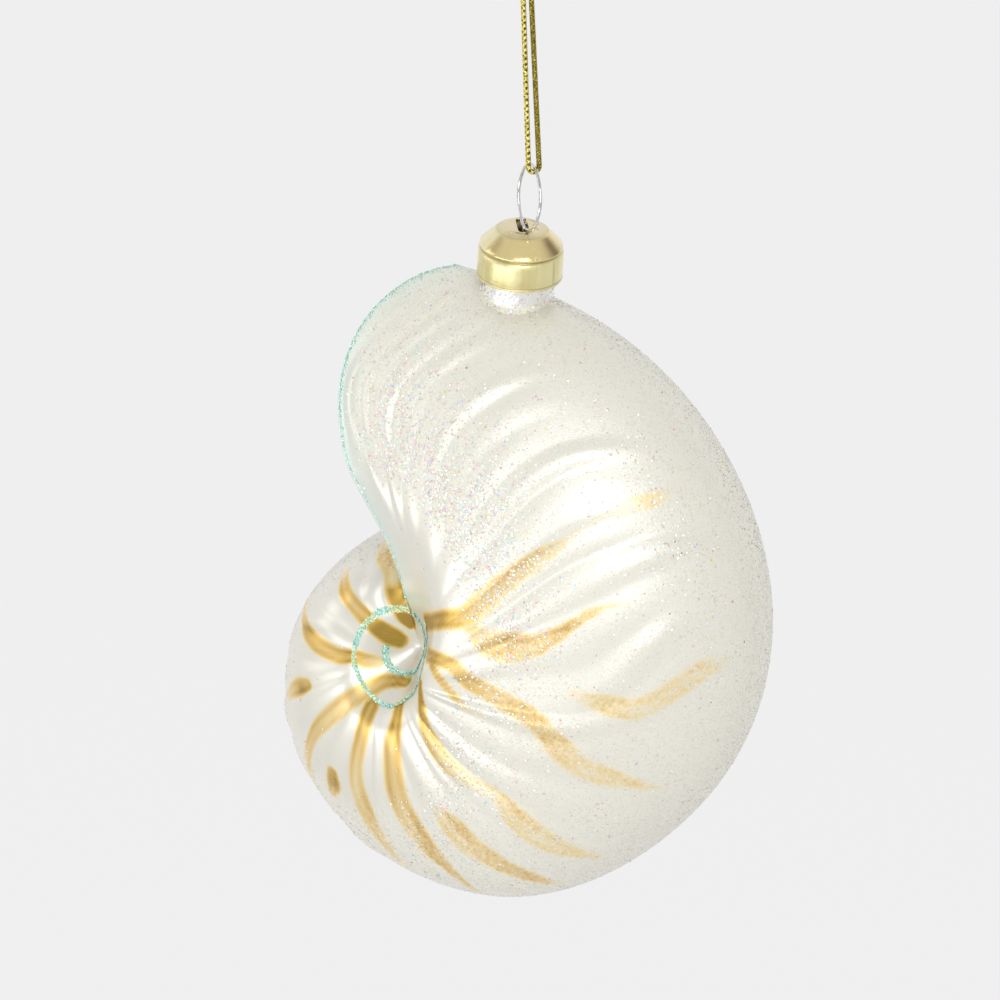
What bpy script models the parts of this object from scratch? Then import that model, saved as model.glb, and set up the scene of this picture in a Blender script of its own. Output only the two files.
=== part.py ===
"""Nautilus shell ornament in blown glass, hanging from a loop of metallic cord.

Metres, +Z up, as it hangs. The shell is symmetrical about the XZ plane: its
decorated flank faces -Y, its keel +X and its mouth -X. The origin is the crown
of the cord loop, just under the knot, on the line that the weight hangs on.
"""

import math

import bmesh
import bpy
import numpy as np
from mathutils import Matrix, Vector

MM = 0.001
COLLECTION = "nautilus_shell_ornament"

# Coil: the outer whorl grows from the start angle, one full turn, to the lip
COIL_CENTRE = Vector((-14 * MM, 0, -133 * MM))  # where the coil axis crosses the symmetry plane
LIP_ANGLE = math.radians(92)                    # in the XZ plane, from +X towards +Z
KEEL_RADIUS = [15 * MM, 21.5 * MM, 31.5 * MM, 45 * MM, 52.5 * MM,
               52.5 * MM, 58 * MM, 62 * MM, 66 * MM]  # at every eighth of the last turn
HALF_WIDTH = [22.8 * MM, 29.5 * MM, 33.5 * MM, 33 * MM, 33.5 * MM, 28 * MM]  # at every fifth
CREST_PLACE = [0.5, 0.33, 0.24, 0.21, 0.53]     # widest point, as a share of the keel radius
UMBILICUS_DEPTH = 21 * MM                       # sideways place of the two navel points
NAVEL_RADIUS = 7 * MM                           # of the round dip that all turns share
FLANK_POWER = (2.9, 1.6)                        # roundness from crest to keel, at start and lip
FUNNEL_POWER = (2.0, 1.0)                       # roundness from navel to crest, at start and lip
LIP_SWEEP = math.radians(15)                    # how far the lip leads on the flank
LIP_REACH = 1.8                                 # pushes that lead out towards the keel
LIP_NOTCH = math.radians(3)                     # how far it hangs back beside the navel
BAY_ROUND, BAY_FILL = 0.3, 0.15                 # of the lip's bay at the keel, as shares of its lead
RIM_ROLL = 0.3                                  # forward roll of the rim, as a share of the mouth
MOUTH_HOLLOW = 0.9                              # how strongly the mouth hollows in
GLASS_WALL = 1.2 * MM
CAVITY_END = 0.965                              # the hollow stops short of the rim, where glass pools
CAVITY_HOLLOW = 1.1                             # its own mouth face lies deeper

# Neck and cap share one axis, which leans a little towards the keel
NECK_LEAN = math.radians(6.5)
CAP_BASE = Vector((-4.1 * MM, 0, -66.6 * MM))
NECK_RADIUS = 6.4 * MM
NECK_BORE = 5.2 * MM
NECK_ROOT = 9 * MM                              # buried length below the cap's edge
NECK_TOP = 6.2 * MM                             # height inside the cap, which rests on it
CAP_OUTSIDE = [(0, 9.9), (3.8, 9.9), (4.15, 9.75), (7.25, 6.6), (7.5, 6.2), (7.45, 5.95),
               (7.3, 5.7), (7.6, 5.35), (7.7, 0.35), (7.5, 0)]  # radius, height in mm
CAP_INSIDE = [(7.2, 0), (7.2, 5.2), (6.9, 5.7), (6.9, 6.1), (3.85, 9.4), (0, 9.5)]
SLOT_LENGTH = 5.6 * MM
SLOT_WIDTH = 2.0 * MM
SLOT_TURN = math.radians(42)                    # about the neck's axis

# Wire hanger: a ring with two legs that spring open inside the neck
WIRE_RADIUS = 0.3 * MM
RING_RADIUS = 5.95 * MM
RING_TOP = Vector((0, 0, -45 * MM))
RING_LEAN = math.radians(8.1)                   # in the XZ plane
RING_TIP = math.radians(5)                      # in the YZ plane
RING_TURN = math.radians(53)                    # of the ring's plane, about the vertical
RING_GAP = 1.0 * MM                             # between the legs where they enter the slot
LEG_END = -2 * MM                               # height above the cap's edge, within the neck
LEG_SPREAD = 3.2 * MM

# Cord: two strands from the knot, round under the top of the ring
CORD_RADIUS = 0.5 * MM
BEND_RADIUS = 1.0 * MM
CROWN_SPREAD = 0.65 * MM                        # half the gap between strands at the knot
STRAND_PLACES = np.linspace(0, 1, 18)[:-1]      # of a strand's points, from the knot to the bend
KNOT_FOOT = 0.6 * MM                            # height of the knot's lower face
FACE_GAP = 0.3 * MM                             # between the cord and the knot
KNOT_SIZE = (3.4 * MM, 2.8 * MM, 3.6 * MM)
TAIL_LENGTH = 8 * MM
TAIL_SPLAY = math.radians(16)

WHORL_STEPS, MOUTH_STEPS, ACROSS_STEPS = 54, 10, 22
CAVITY_WHORL_STEPS, CAVITY_MOUTH_STEPS, CAVITY_ACROSS_STEPS = 36, 6, 14


def clear_scene():
    for old in list(bpy.data.objects):
        bpy.data.objects.remove(old, do_unlink=True)


def new_collection(name):
    group = bpy.data.collections.new(name)
    bpy.context.scene.collection.children.link(group)
    return group


def add_object(name, mesh, group):
    made = bpy.data.objects.new(name, mesh)
    group.objects.link(made)
    return made


def material(name, colour, roughness, metallic):
    made = bpy.data.materials.new(name)
    made.use_nodes = True
    shader = made.node_tree.nodes["Principled BSDF"]
    shader.inputs["Base Color"].default_value = (*colour, 1)
    shader.inputs["Roughness"].default_value = roughness
    shader.inputs["Metallic"].default_value = metallic
    made.diffuse_color = (*colour, 1)
    return made


def hide_cutter(cutter):
    cutter.hide_render = True
    cutter.display_type = "WIRE"


def boolean(target, cutter, operation):
    change = target.modifiers.new(f"{operation.lower()} {cutter.name}", "BOOLEAN")
    change.operation = operation
    change.object = cutter
    hide_cutter(cutter)


def smooth_shade(mesh, angle):
    mesh.shade_smooth()
    mesh.set_sharp_from_angle(angle=angle)


# ---- glass shell ----

def through(values, t):
    """Catmull-Rom curve through evenly spaced values, for t from 0 to 1."""
    values = np.asarray(values, float)
    padded = np.concatenate([[2 * values[0] - values[1]], values, [2 * values[-1] - values[-2]]])
    last = len(values) - 1
    place = np.clip(t, 0, 1) * last
    i = np.minimum(place.astype(int), last - 1)
    f = place - i
    a, b, c, d = padded[i], padded[i + 1], padded[i + 2], padded[i + 3]
    return 0.5 * (2 * b + (c - a) * f + (2 * a - 5 * b + 4 * c - d) * f**2
                  + (3 * b - a - 3 * c + d) * f**3)


def whorl_point(turn, across):
    """A point of the last whorl.

    turn runs 0 to 1 from its start to the lip, across runs 0 to 1 from the
    navel over the crest, at a half, to the keel. Returns the distance from the
    coil axis, the sideways offset and the angle about the axis.
    """
    radius = through(KEEL_RADIUS, turn)
    width = through(HALF_WIDTH, turn)
    crest = through(CREST_PLACE, turn) * radius
    funnel = FUNNEL_POWER[0] + (FUNNEL_POWER[1] - FUNNEL_POWER[0]) * turn
    flank = 2 / (FLANK_POWER[0] + (FLANK_POWER[1] - FLANK_POWER[0]) * turn)
    inner = np.clip(2 * across, 0, 1)
    climb = (NAVEL_RADIUS * inner + (crest - NAVEL_RADIUS) * inner**3) / crest
    outer = np.clip(2 * across - 1, 0, 1) * math.pi / 2
    reach = np.where(across < 0.5, crest * climb, crest + (radius - crest) * np.sin(outer)**flank)
    side = np.where(across < 0.5,
                    UMBILICUS_DEPTH + (width - UMBILICUS_DEPTH) * np.sin(climb * math.pi / 2)**funnel,
                    width * np.clip(np.cos(outer), 0, 1)**flank)
    place = np.where(across < 0.5, climb / 2, across)
    lead = np.hypot(np.sin(math.pi * place**LIP_REACH), BAY_ROUND) - BAY_FILL
    lead /= math.hypot(1, BAY_ROUND) - BAY_FILL
    sweep = (LIP_SWEEP * lead - LIP_NOTCH * np.sin(math.pi * climb)**2) * turn
    return reach, side, LIP_ANGLE + 2 * math.pi * (turn - 1) + sweep


def place_round_axis(reach, side, angle):
    return np.stack([COIL_CENTRE.x + reach * np.cos(angle), side,
                     COIL_CENTRE.z + reach * np.sin(angle)], axis=-1)


def whorl_rows(turns, across_steps):
    """Rows across the whorl, one for each turn, and the forward direction of the last.

    A row runs from the near navel over the keel to the far navel.
    """
    share = np.linspace(-1, 1, 2 * across_steps + 1)
    across = (1 - np.abs(share))[None, :]
    reach, side, angle = whorl_point(turns[:, None], across)
    ahead = np.stack([-np.sin(angle[-1]), np.zeros_like(angle[-1]), np.cos(angle[-1])], axis=-1)
    return place_round_axis(reach, np.sign(share) * side, angle), ahead


def mouth_rows(whorl, ahead, steps, hollow):
    """Rows down the hollow of the mouth, from the whorl's last row to its first.

    Each column is a Hermite curve: it rolls forwards over the rim, dips into
    the mouth and comes forwards again along the face of the older whorl.
    """
    start, lip = whorl[0], whorl[-1]
    span = np.linalg.norm(lip - start, axis=-1, keepdims=True)
    s = (np.arange(1, steps) / steps)[:, None, None]
    bulge = (s**3 - 2 * s**2 + s) * RIM_ROLL + (s**3 - s**2) * hollow
    return (2 * s**3 - 3 * s**2 + 1) * lip + (3 * s**2 - 2 * s**3) * start + bulge * span * ahead


def inset_rows(rows, depth):
    """The same rows moved inwards, square to the surface that they span."""
    over, along = np.gradient(rows, axis=1), np.gradient(rows, axis=0)
    normal = np.cross(over, along)
    normal[:, 0] = (0, -1, 0)
    normal[:, -1] = (0, 1, 0)
    return rows - depth * normal / np.linalg.norm(normal, axis=-1, keepdims=True)


def loft(name, rows):
    """A closed mesh over rows of points that share their first and last point."""
    count, width = rows.shape[0], rows.shape[1] - 2
    points = np.concatenate([rows[:, 1:-1].reshape(-1, 3), rows[:1, 0], rows[:1, -1]])
    near_pole, far_pole = count * width, count * width + 1
    faces = []
    for i in range(count):
        here, after = i * width, (i + 1) % count * width
        faces.append((near_pole, after, here))
        faces.append((far_pole, here + width - 1, after + width - 1))
        for j in range(width - 1):
            faces.append((here + j, after + j, after + j + 1, here + j + 1))
    mesh = bpy.data.meshes.new(name)
    mesh.from_pydata(points.tolist(), [], faces)
    work = bmesh.new()
    work.from_mesh(mesh)
    bmesh.ops.recalc_face_normals(work, faces=work.faces)
    work.to_mesh(mesh)
    work.free()
    return mesh


def neck_matrix(height):
    """Places a shape on the neck's axis, at a height above the cap's lower edge."""
    lean = Matrix.Rotation(NECK_LEAN, 4, "Y")
    return Matrix.Translation(CAP_BASE) @ lean @ Matrix.Translation((0, 0, height))


def cylinder(name, radius, low, high, sides, group):
    work = bmesh.new()
    bmesh.ops.create_cone(work, cap_ends=True, segments=sides, radius1=radius, radius2=radius,
                          depth=high - low)
    mesh = bpy.data.meshes.new(name)
    work.to_mesh(mesh)
    work.free()
    made = add_object(name, mesh, group)
    made.matrix_world = neck_matrix((low + high) / 2)
    return made


def make_glass_shell(parts, cutters):
    whorl, ahead = whorl_rows(np.linspace(0, 1, WHORL_STEPS + 1), ACROSS_STEPS)
    outside = np.concatenate([whorl, mouth_rows(whorl, ahead, MOUTH_STEPS, MOUTH_HOLLOW)])
    shell = add_object("glass_shell", loft("glass_shell", outside), parts)
    boolean(shell, cylinder("neck", NECK_RADIUS, -NECK_ROOT, NECK_TOP, 40, cutters), "UNION")
    whorl, ahead = whorl_rows(np.linspace(0, CAVITY_END, CAVITY_WHORL_STEPS + 1), CAVITY_ACROSS_STEPS)
    whorl = inset_rows(whorl, GLASS_WALL)
    inside = np.concatenate([whorl, mouth_rows(whorl, ahead, CAVITY_MOUTH_STEPS, CAVITY_HOLLOW)])
    cavity = add_object("cavity", loft("cavity", inside), cutters)
    boolean(shell, cavity, "DIFFERENCE")
    bore = cylinder("neck_bore", NECK_BORE, -NECK_ROOT - 2 * MM, NECK_TOP + 2 * MM, 32, cutters)
    boolean(shell, bore, "DIFFERENCE")
    shell.data.materials.append(material("pearl lacquer on glass", (0.9, 0.88, 0.82), 0.35, 0.3))
    smooth_shade(shell.data, math.radians(40))


# ---- cap ----

def make_cap(parts, cutters):
    profile = [(radius * MM, 0, height * MM) for radius, height in CAP_OUTSIDE + CAP_INSIDE]
    mesh = bpy.data.meshes.new("cap")
    mesh.from_pydata(profile, [(i, i + 1) for i in range(len(profile) - 1)], [])
    cap = add_object("cap", mesh, parts)
    turned = cap.modifiers.new("turned", "SCREW")
    turned.steps = turned.render_steps = 48
    turned.use_merge_vertices = True
    turned.merge_threshold = 0.01 * MM
    cap.matrix_world = neck_matrix(0)

    outline = bpy.data.curves.new("slot_cutter", "CURVE")
    outline.dimensions = "2D"
    outline.fill_mode = "BOTH"
    outline.extrude = 2 * MM
    line = outline.splines.new("POLY")
    end_radius = SLOT_WIDTH / 2
    straight = SLOT_LENGTH / 2 - end_radius
    turns = [math.pi * k / 8 for k in range(9)]
    corners = [(end_radius * math.cos(a), straight + end_radius * math.sin(a)) for a in turns]
    corners += [(-x, -y) for x, y in corners]
    line.points.add(len(corners) - 1)
    for point, (x, y) in zip(line.points, corners):
        point.co = (x, y, 0, 1)
    line.use_cyclic_u = True
    drawn = add_object("slot_drawn", outline, cutters)
    drawn.matrix_world = neck_matrix(CAP_OUTSIDE[0][1] * MM) @ Matrix.Rotation(SLOT_TURN, 4, "Z")
    boolean(cap, solid_from_curve(drawn, "slot_cutter", cutters), "DIFFERENCE")
    cap.data.materials.append(material("satin brass cap", (0.78, 0.66, 0.33), 0.3, 1))
    smooth_shade(cap.data, math.radians(30))


def solid_from_curve(drawn, name, group):
    """The closed mesh that a curve object draws; the curve itself is removed."""
    bpy.context.view_layer.update()
    mesh = bpy.data.meshes.new_from_object(drawn.evaluated_get(bpy.context.evaluated_depsgraph_get()))
    work = bmesh.new()
    work.from_mesh(mesh)
    bmesh.ops.remove_doubles(work, verts=work.verts, dist=0.001 * MM)
    bmesh.ops.recalc_face_normals(work, faces=work.faces)
    work.to_mesh(mesh)
    work.free()
    made = add_object(name, mesh, group)
    made.matrix_world = drawn.matrix_world
    bpy.data.objects.remove(drawn, do_unlink=True)
    return made


# ---- wire hanger and cord ----

def tube(name, points, radius, parts):
    """A round wire or cord along a list of points, with filled ends."""
    curve = bpy.data.curves.new(name, "CURVE")
    curve.dimensions = "3D"
    curve.bevel_depth = radius
    curve.bevel_resolution = 2
    curve.use_fill_caps = True
    spline = curve.splines.new("POLY")
    spline.points.add(len(points) - 1)
    for target, point in zip(spline.points, points):
        target.co = (*point, 1)
    return add_object(name, curve, parts)


def ring_frame():
    """Axes of the ring's plane: x across the plane, y along it, z up it."""
    leaning = Matrix.Rotation(-RING_TIP, 4, "X") @ Matrix.Rotation(RING_LEAN, 4, "Y")
    return leaning @ Matrix.Rotation(RING_TURN, 4, "Z")


def make_wire_hanger(parts):
    centre = Vector((0, 0, -RING_RADIUS))
    opening = math.asin(RING_GAP / 2 / RING_RADIUS)
    first, last = -math.pi / 2 + opening, 3 * math.pi / 2 - opening
    angles = np.linspace(first, last, 37)
    ring = [centre + RING_RADIUS * Vector((0, math.cos(a), math.sin(a))) for a in angles]
    foot = 2 * centre.z
    frame = Matrix.Translation(RING_TOP) @ ring_frame()
    inside = neck_matrix(LEG_END) @ Matrix.Rotation(SLOT_TURN, 4, "Z")

    def leg(hand):
        at_slot = Vector((0, hand * RING_GAP / 2, foot - 0.8 * MM))
        knee = Vector((0, hand * (RING_GAP / 2 + 0.1 * MM), foot - 2.2 * MM))
        return [frame @ at_slot, frame @ knee, inside @ Vector((0, hand * LEG_SPREAD, 0))]

    points = [*reversed(leg(1)), *(frame @ p for p in ring), *leg(-1)]
    hanger = tube("wire_hanger", points, WIRE_RADIUS, parts)
    hanger.data.materials.append(material("steel wire", (0.75, 0.75, 0.76), 0.15, 1))


def make_cord(parts):
    """Down one strand, round under the ring's wire and up the other."""
    across = ring_frame() @ Vector((1, 0, 0))
    across = Vector((across.x, across.y, 0)).normalized()
    crown = Vector((0, 0, KNOT_FOOT - FACE_GAP))

    def strand(hand):
        return [crown.lerp(RING_TOP, f) + across * hand * (CROWN_SPREAD + (BEND_RADIUS - CROWN_SPREAD) * f)
                for f in STRAND_PLACES]

    bend = [RING_TOP - BEND_RADIUS * (math.cos(a) * across + math.sin(a) * Vector((0, 0, 1)))
            for a in np.linspace(0, math.pi, 9)]
    cord = tube("cord", [*strand(-1), *bend, *reversed(strand(1))], CORD_RADIUS, parts)
    cord.data.materials.append(material("gold metallic cord", (0.72, 0.55, 0.14), 0.35, 0.9))


def make_knot(parts, cutters):
    work = bmesh.new()
    bmesh.ops.create_uvsphere(work, u_segments=20, v_segments=12, radius=0.5)
    mesh = bpy.data.meshes.new("cord_knot")
    bmesh.ops.scale(work, vec=KNOT_SIZE, verts=work.verts)
    work.to_mesh(mesh)
    work.free()
    knot = add_object("cord_knot", mesh, parts)
    knot.location = (0, 0, KNOT_FOOT + KNOT_SIZE[2] / 2)
    for side, name in ((1, "tail_left"), (-1, "tail_right")):
        root = Vector((0, 0, KNOT_FOOT + KNOT_SIZE[2] / 2))
        lean = Vector((side * math.sin(TAIL_SPLAY), 0, math.cos(TAIL_SPLAY)))
        end = root + lean * (KNOT_SIZE[2] / 2 + TAIL_LENGTH)
        drawn = tube(name + "_drawn", [root + lean * MM, root.lerp(end, 0.6), end], CORD_RADIUS, cutters)
        boolean(knot, solid_from_curve(drawn, name, cutters), "UNION")
    knot.data.materials.append(material("gold cord knot", (0.72, 0.55, 0.14), 0.35, 0.9))
    smooth_shade(knot.data, math.radians(40))


def main():
    clear_scene()
    parts = new_collection(COLLECTION)
    cutters = new_collection(COLLECTION + "_cutters")
    make_glass_shell(parts, cutters)
    make_cap(parts, cutters)
    make_wire_hanger(parts)
    make_cord(parts)
    make_knot(parts, cutters)


main()
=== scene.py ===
import math

import bpy
import numpy as np
from mathutils import Matrix, Vector


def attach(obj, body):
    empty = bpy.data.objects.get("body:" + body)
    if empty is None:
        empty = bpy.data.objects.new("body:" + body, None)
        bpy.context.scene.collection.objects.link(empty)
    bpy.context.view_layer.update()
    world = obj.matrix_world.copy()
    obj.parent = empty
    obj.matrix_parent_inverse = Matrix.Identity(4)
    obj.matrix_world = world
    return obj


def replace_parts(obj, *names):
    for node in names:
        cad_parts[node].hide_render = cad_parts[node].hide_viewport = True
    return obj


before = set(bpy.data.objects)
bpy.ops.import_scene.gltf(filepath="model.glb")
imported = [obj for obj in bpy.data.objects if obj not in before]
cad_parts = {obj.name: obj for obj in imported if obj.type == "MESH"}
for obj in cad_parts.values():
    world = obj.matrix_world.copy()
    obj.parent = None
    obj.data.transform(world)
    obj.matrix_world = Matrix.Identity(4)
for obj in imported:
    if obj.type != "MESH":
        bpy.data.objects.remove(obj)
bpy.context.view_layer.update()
mm = 0.001


# camera: far off with a long lens, so that the view is nearly parallel

camera = {
    "azimuth": math.radians(36),        # from -Y towards +X
    "elevation": math.radians(22),
    "roll": math.radians(2.25),
    "width": 180 * mm,                  # of the view, at the target
    "target": (2.2 * mm, 19.4 * mm),    # right of and above the coil's centre, as the camera sees it
    "distance": 5,
    "sight": 50,
    "sensor": 36,
}


def placed(name, data):
    # a new object in the scene, holding the data
    made = bpy.data.objects.new(name, data)
    bpy.context.scene.collection.objects.link(made)
    return made


def cameraAxes():
    a, e, r = camera["azimuth"], camera["elevation"], camera["roll"]
    flat = np.array([math.cos(a), math.sin(a), 0])
    upright = np.array([-math.sin(a) * math.sin(e), math.cos(a) * math.sin(e), math.cos(e)])
    right = flat * math.cos(r) - upright * math.sin(r)
    up = flat * math.sin(r) + upright * math.cos(r)
    return right, up, np.cross(right, up)


def makeCamera(centre):
    right, up, back = cameraAxes()
    data = bpy.data.cameras.new("camera")
    data.sensor_width = camera["sensor"]
    data.lens = camera["sensor"] * camera["distance"] / camera["width"]
    data.clip_end = camera["sight"]
    made = placed("camera", data)
    sideways, upwards = camera["target"]
    place = np.asarray(centre) + right * sideways + up * upwards + back * camera["distance"]
    turned = np.identity(4)
    turned[:3, 0], turned[:3, 1], turned[:3, 2], turned[:3, 3] = right, up, back, place
    made.matrix_world = Matrix(turned.tolist())
    bpy.context.scene.camera = made


# mesh helpers

def makeMesh(name, points, *faceSets):
    # each face set holds one row of point numbers per face
    mesh = bpy.data.meshes.new(name)
    loops = np.concatenate([faces.ravel() for faces in faceSets]).astype(np.int32)
    sizes = np.concatenate([np.full(len(faces), faces.shape[1]) for faces in faceSets])
    mesh.vertices.add(len(points))
    mesh.vertices.foreach_set("co", np.asarray(points, np.float32).ravel())
    mesh.loops.add(len(loops))
    mesh.loops.foreach_set("vertex_index", loops)
    mesh.polygons.add(len(sizes))
    mesh.polygons.foreach_set("loop_start", (np.cumsum(sizes) - sizes).astype(np.int32))
    mesh.update(calc_edges=True)
    return mesh


def makePiece(mesh, finish, smooth=True):
    piece = placed(mesh.name, mesh)
    mesh.materials.append(finish)
    mesh.polygons.foreach_set("use_smooth", np.full(len(mesh.polygons), smooth))
    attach(piece, "root")
    return piece


def gridFaces(rows, columns, wrapRows=False, wrapColumns=False):
    # quads between neighbouring rows and columns of points that are numbered row by row
    numbers = np.arange(rows * columns).reshape(rows, columns)
    if wrapRows:
        numbers = np.concatenate([numbers, numbers[:1]])
    if wrapColumns:
        numbers = np.concatenate([numbers, numbers[:, :1]], axis=1)
    return np.stack([numbers[:-1, :-1], numbers[:-1, 1:], numbers[1:, 1:], numbers[1:, :-1]],
                    axis=-1).reshape(-1, 4)


def addFloat(mesh, name, values):
    made = mesh.attributes.new(name, "FLOAT", "POINT")
    made.data.foreach_set("value", np.asarray(values, np.float32).ravel())


def addVector(mesh, name, vectors):
    made = mesh.attributes.new(name, "FLOAT_VECTOR", "POINT")
    made.data.foreach_set("vector", np.asarray(vectors, np.float32).ravel())


def addColour(mesh, name, colours):
    full = np.concatenate([colours, np.ones((len(colours), 1))], axis=1).astype(np.float32)
    mesh.attributes.new(name, "FLOAT_COLOR", "POINT").data.foreach_set("color", full.ravel())


def unit(vectors):
    return vectors / np.maximum(np.linalg.norm(vectors, axis=-1, keepdims=True), 1e-12)


def runAlong(line):
    # how far each point lies along the line
    return np.concatenate([[0], np.cumsum(np.linalg.norm(np.diff(line, axis=0), axis=1))])


def between(pair, t):
    return pair[0] + (pair[1] - pair[0]) * t


def ramp(value, low, high):
    # smooth step from 0 at low to 1 at high
    t = np.clip((value - low) / (high - low), 0, 1)
    return t * t * (3 - 2 * t)


def through(values, t):
    # Catmull-Rom curve through evenly spaced values, or points, for t from 0 to 1
    values = np.asarray(values, float)
    padded = np.concatenate([[2 * values[0] - values[1]], values, [2 * values[-1] - values[-2]]])
    last = len(values) - 1
    place = np.clip(t, 0, 1) * last
    i = np.minimum(place.astype(int), last - 1)
    f = place - i
    if values.ndim > 1:
        f = f[..., None]
    a, b, c, d = padded[i], padded[i + 1], padded[i + 2], padded[i + 3]
    return 0.5 * (2 * b + (c - a) * f + (2 * a - 5 * b + 4 * c - d) * f**2 + (3 * b - a - 3 * c + d) * f**3)


# shell form: the same formula as the CAD shell, here with its relief

shell = {
    "centre": np.array([-14, 0, -133]) * mm,   # where the coil's axis crosses the plane of symmetry
    "lipAngle": math.radians(92),
    # evenly spaced over the turn, the crest's place as a part of the keel's radius
    "keelRadius": np.array([15, 21.5, 31.5, 45, 52.5, 52.5, 58, 62, 66]) * mm,
    "halfWidth": np.array([22.8, 29.5, 33.5, 33, 33.5, 28]) * mm,
    "crestPlace": [0.5, 0.33, 0.24, 0.21, 0.53],
    "navelDepth": 21 * mm,
    "navelRadius": 7 * mm,
    # how square flank and funnel are, at the whorl's start and at the lip
    "flankPower": (2.9, 1.6),
    "funnelPower": (2.0, 1.0),
    # how far the lip runs ahead on its flanks, and the bays that it leaves at keel and navel
    "lipSweep": math.radians(15),
    "lipReach": 1.8,
    "lipNotch": math.radians(3),
    "bayRound": 0.3,
    "bayFill": 0.15,
    "farLag": math.radians(1.0),               # by which the far side stays back from the near one
    "farDrop": 0.026,                          # and its shoulder by the lip stays lower
    "keelDrop": 0.006,                         # as does the keel's end there
    "rimRoll": 0.3,
    "mouthHollow": 0.9,
    "crestSoftening": 16,                      # rounds of smoothing over the crest
    "rows": (250, 130, 56),                    # on the whorl, on its last fifth and down the mouth
    "columns": 104,                            # from navel to keel
}


def whorlPoints(turn, share):
    # Turn 0 to 1 runs from the whorl's start to the lip; share -1 to 1 runs from the near navel over the
    # keel to the far one. A power curve climbs from navel to crest, and a superellipse falls from there on.
    across, hand = 1 - np.abs(share), np.sign(share)
    radius, width = through(shell["keelRadius"], turn), through(shell["halfWidth"], turn)
    crest = through(shell["crestPlace"], turn) * radius
    funnel, flank = between(shell["funnelPower"], turn), 2 / between(shell["flankPower"], turn)
    inner = np.clip(2 * across, 0, 1)
    climb = (shell["navelRadius"] * inner + (crest - shell["navelRadius"]) * inner**3) / crest
    outer = np.clip(2 * across - 1, 0, 1) * math.pi / 2
    reach = np.where(across < 0.5, crest * climb, crest + (radius - crest) * np.sin(outer)**flank)
    shoulder = ramp(share, 0, 0.07) * (1 - ramp(share, 0.2, 0.4)) * ramp(turn, 0.85, 1)
    keelEnd = np.exp(-(share / 0.03)**2) * ramp(turn, 0.96, 1)
    reach = reach * (1 - shell["farDrop"] * shoulder) * (1 - shell["keelDrop"] * keelEnd)
    rise = shell["navelDepth"] + (width - shell["navelDepth"]) * np.sin(climb * math.pi / 2)**funnel
    side = np.where(across < 0.5, rise, width * np.clip(np.cos(outer), 0, 1)**flank)
    place = np.where(across < 0.5, climb / 2, across)
    lead = np.hypot(np.sin(math.pi * place**shell["lipReach"]), shell["bayRound"]) - shell["bayFill"]
    lead = lead / (math.hypot(1, shell["bayRound"]) - shell["bayFill"])
    sweep = (shell["lipSweep"] * lead - shell["lipNotch"] * np.sin(math.pi * climb)**2) * turn
    sweep = sweep - shell["farLag"] * ramp(share, -0.08, 0.08) * turn
    angle = shell["lipAngle"] + 2 * math.pi * (turn - 1) + sweep
    away = np.stack([reach * np.cos(angle), hand * side, reach * np.sin(angle)], axis=-1)
    return shell["centre"] + away, angle


def basePoints(row, share):
    # Row 0 to 1 is the whorl; 1 to 2 is a Hermite curve from the lip down the mouth to the whorl's start.
    row, share = np.broadcast_arrays(np.asarray(row, float), np.asarray(share, float))
    whorl, _ = whorlPoints(np.clip(row, 0, 1), share)
    lip, angle = whorlPoints(np.ones_like(row), share)
    start, _ = whorlPoints(np.zeros_like(row), share)
    ahead = np.stack([-np.sin(angle), np.zeros_like(angle), np.cos(angle)], axis=-1)
    span = np.linalg.norm(lip - start, axis=-1, keepdims=True)
    s = np.clip(row - 1, 0, 1)[..., None]
    bulge = (s**3 - 2 * s**2 + s) * shell["rimRoll"] + (s**3 - s**2) * shell["mouthHollow"]
    mouth = (2 * s**3 - 3 * s**2 + 1) * lip + (3 * s**2 - 2 * s**3) * start + bulge * span * ahead
    return np.where(row[..., None] > 1, mouth, whorl)


def baseNormals(row, share):
    # square to the surface, from small steps along it and over it
    step = 2e-4
    over = basePoints(row, np.clip(share + step, -1, 1)) - basePoints(row, np.clip(share - step, -1, 1))
    along = basePoints(np.mod(row + step, 2), share) - basePoints(np.mod(row - step, 2), share)
    return unit(np.cross(over, along))


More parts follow.
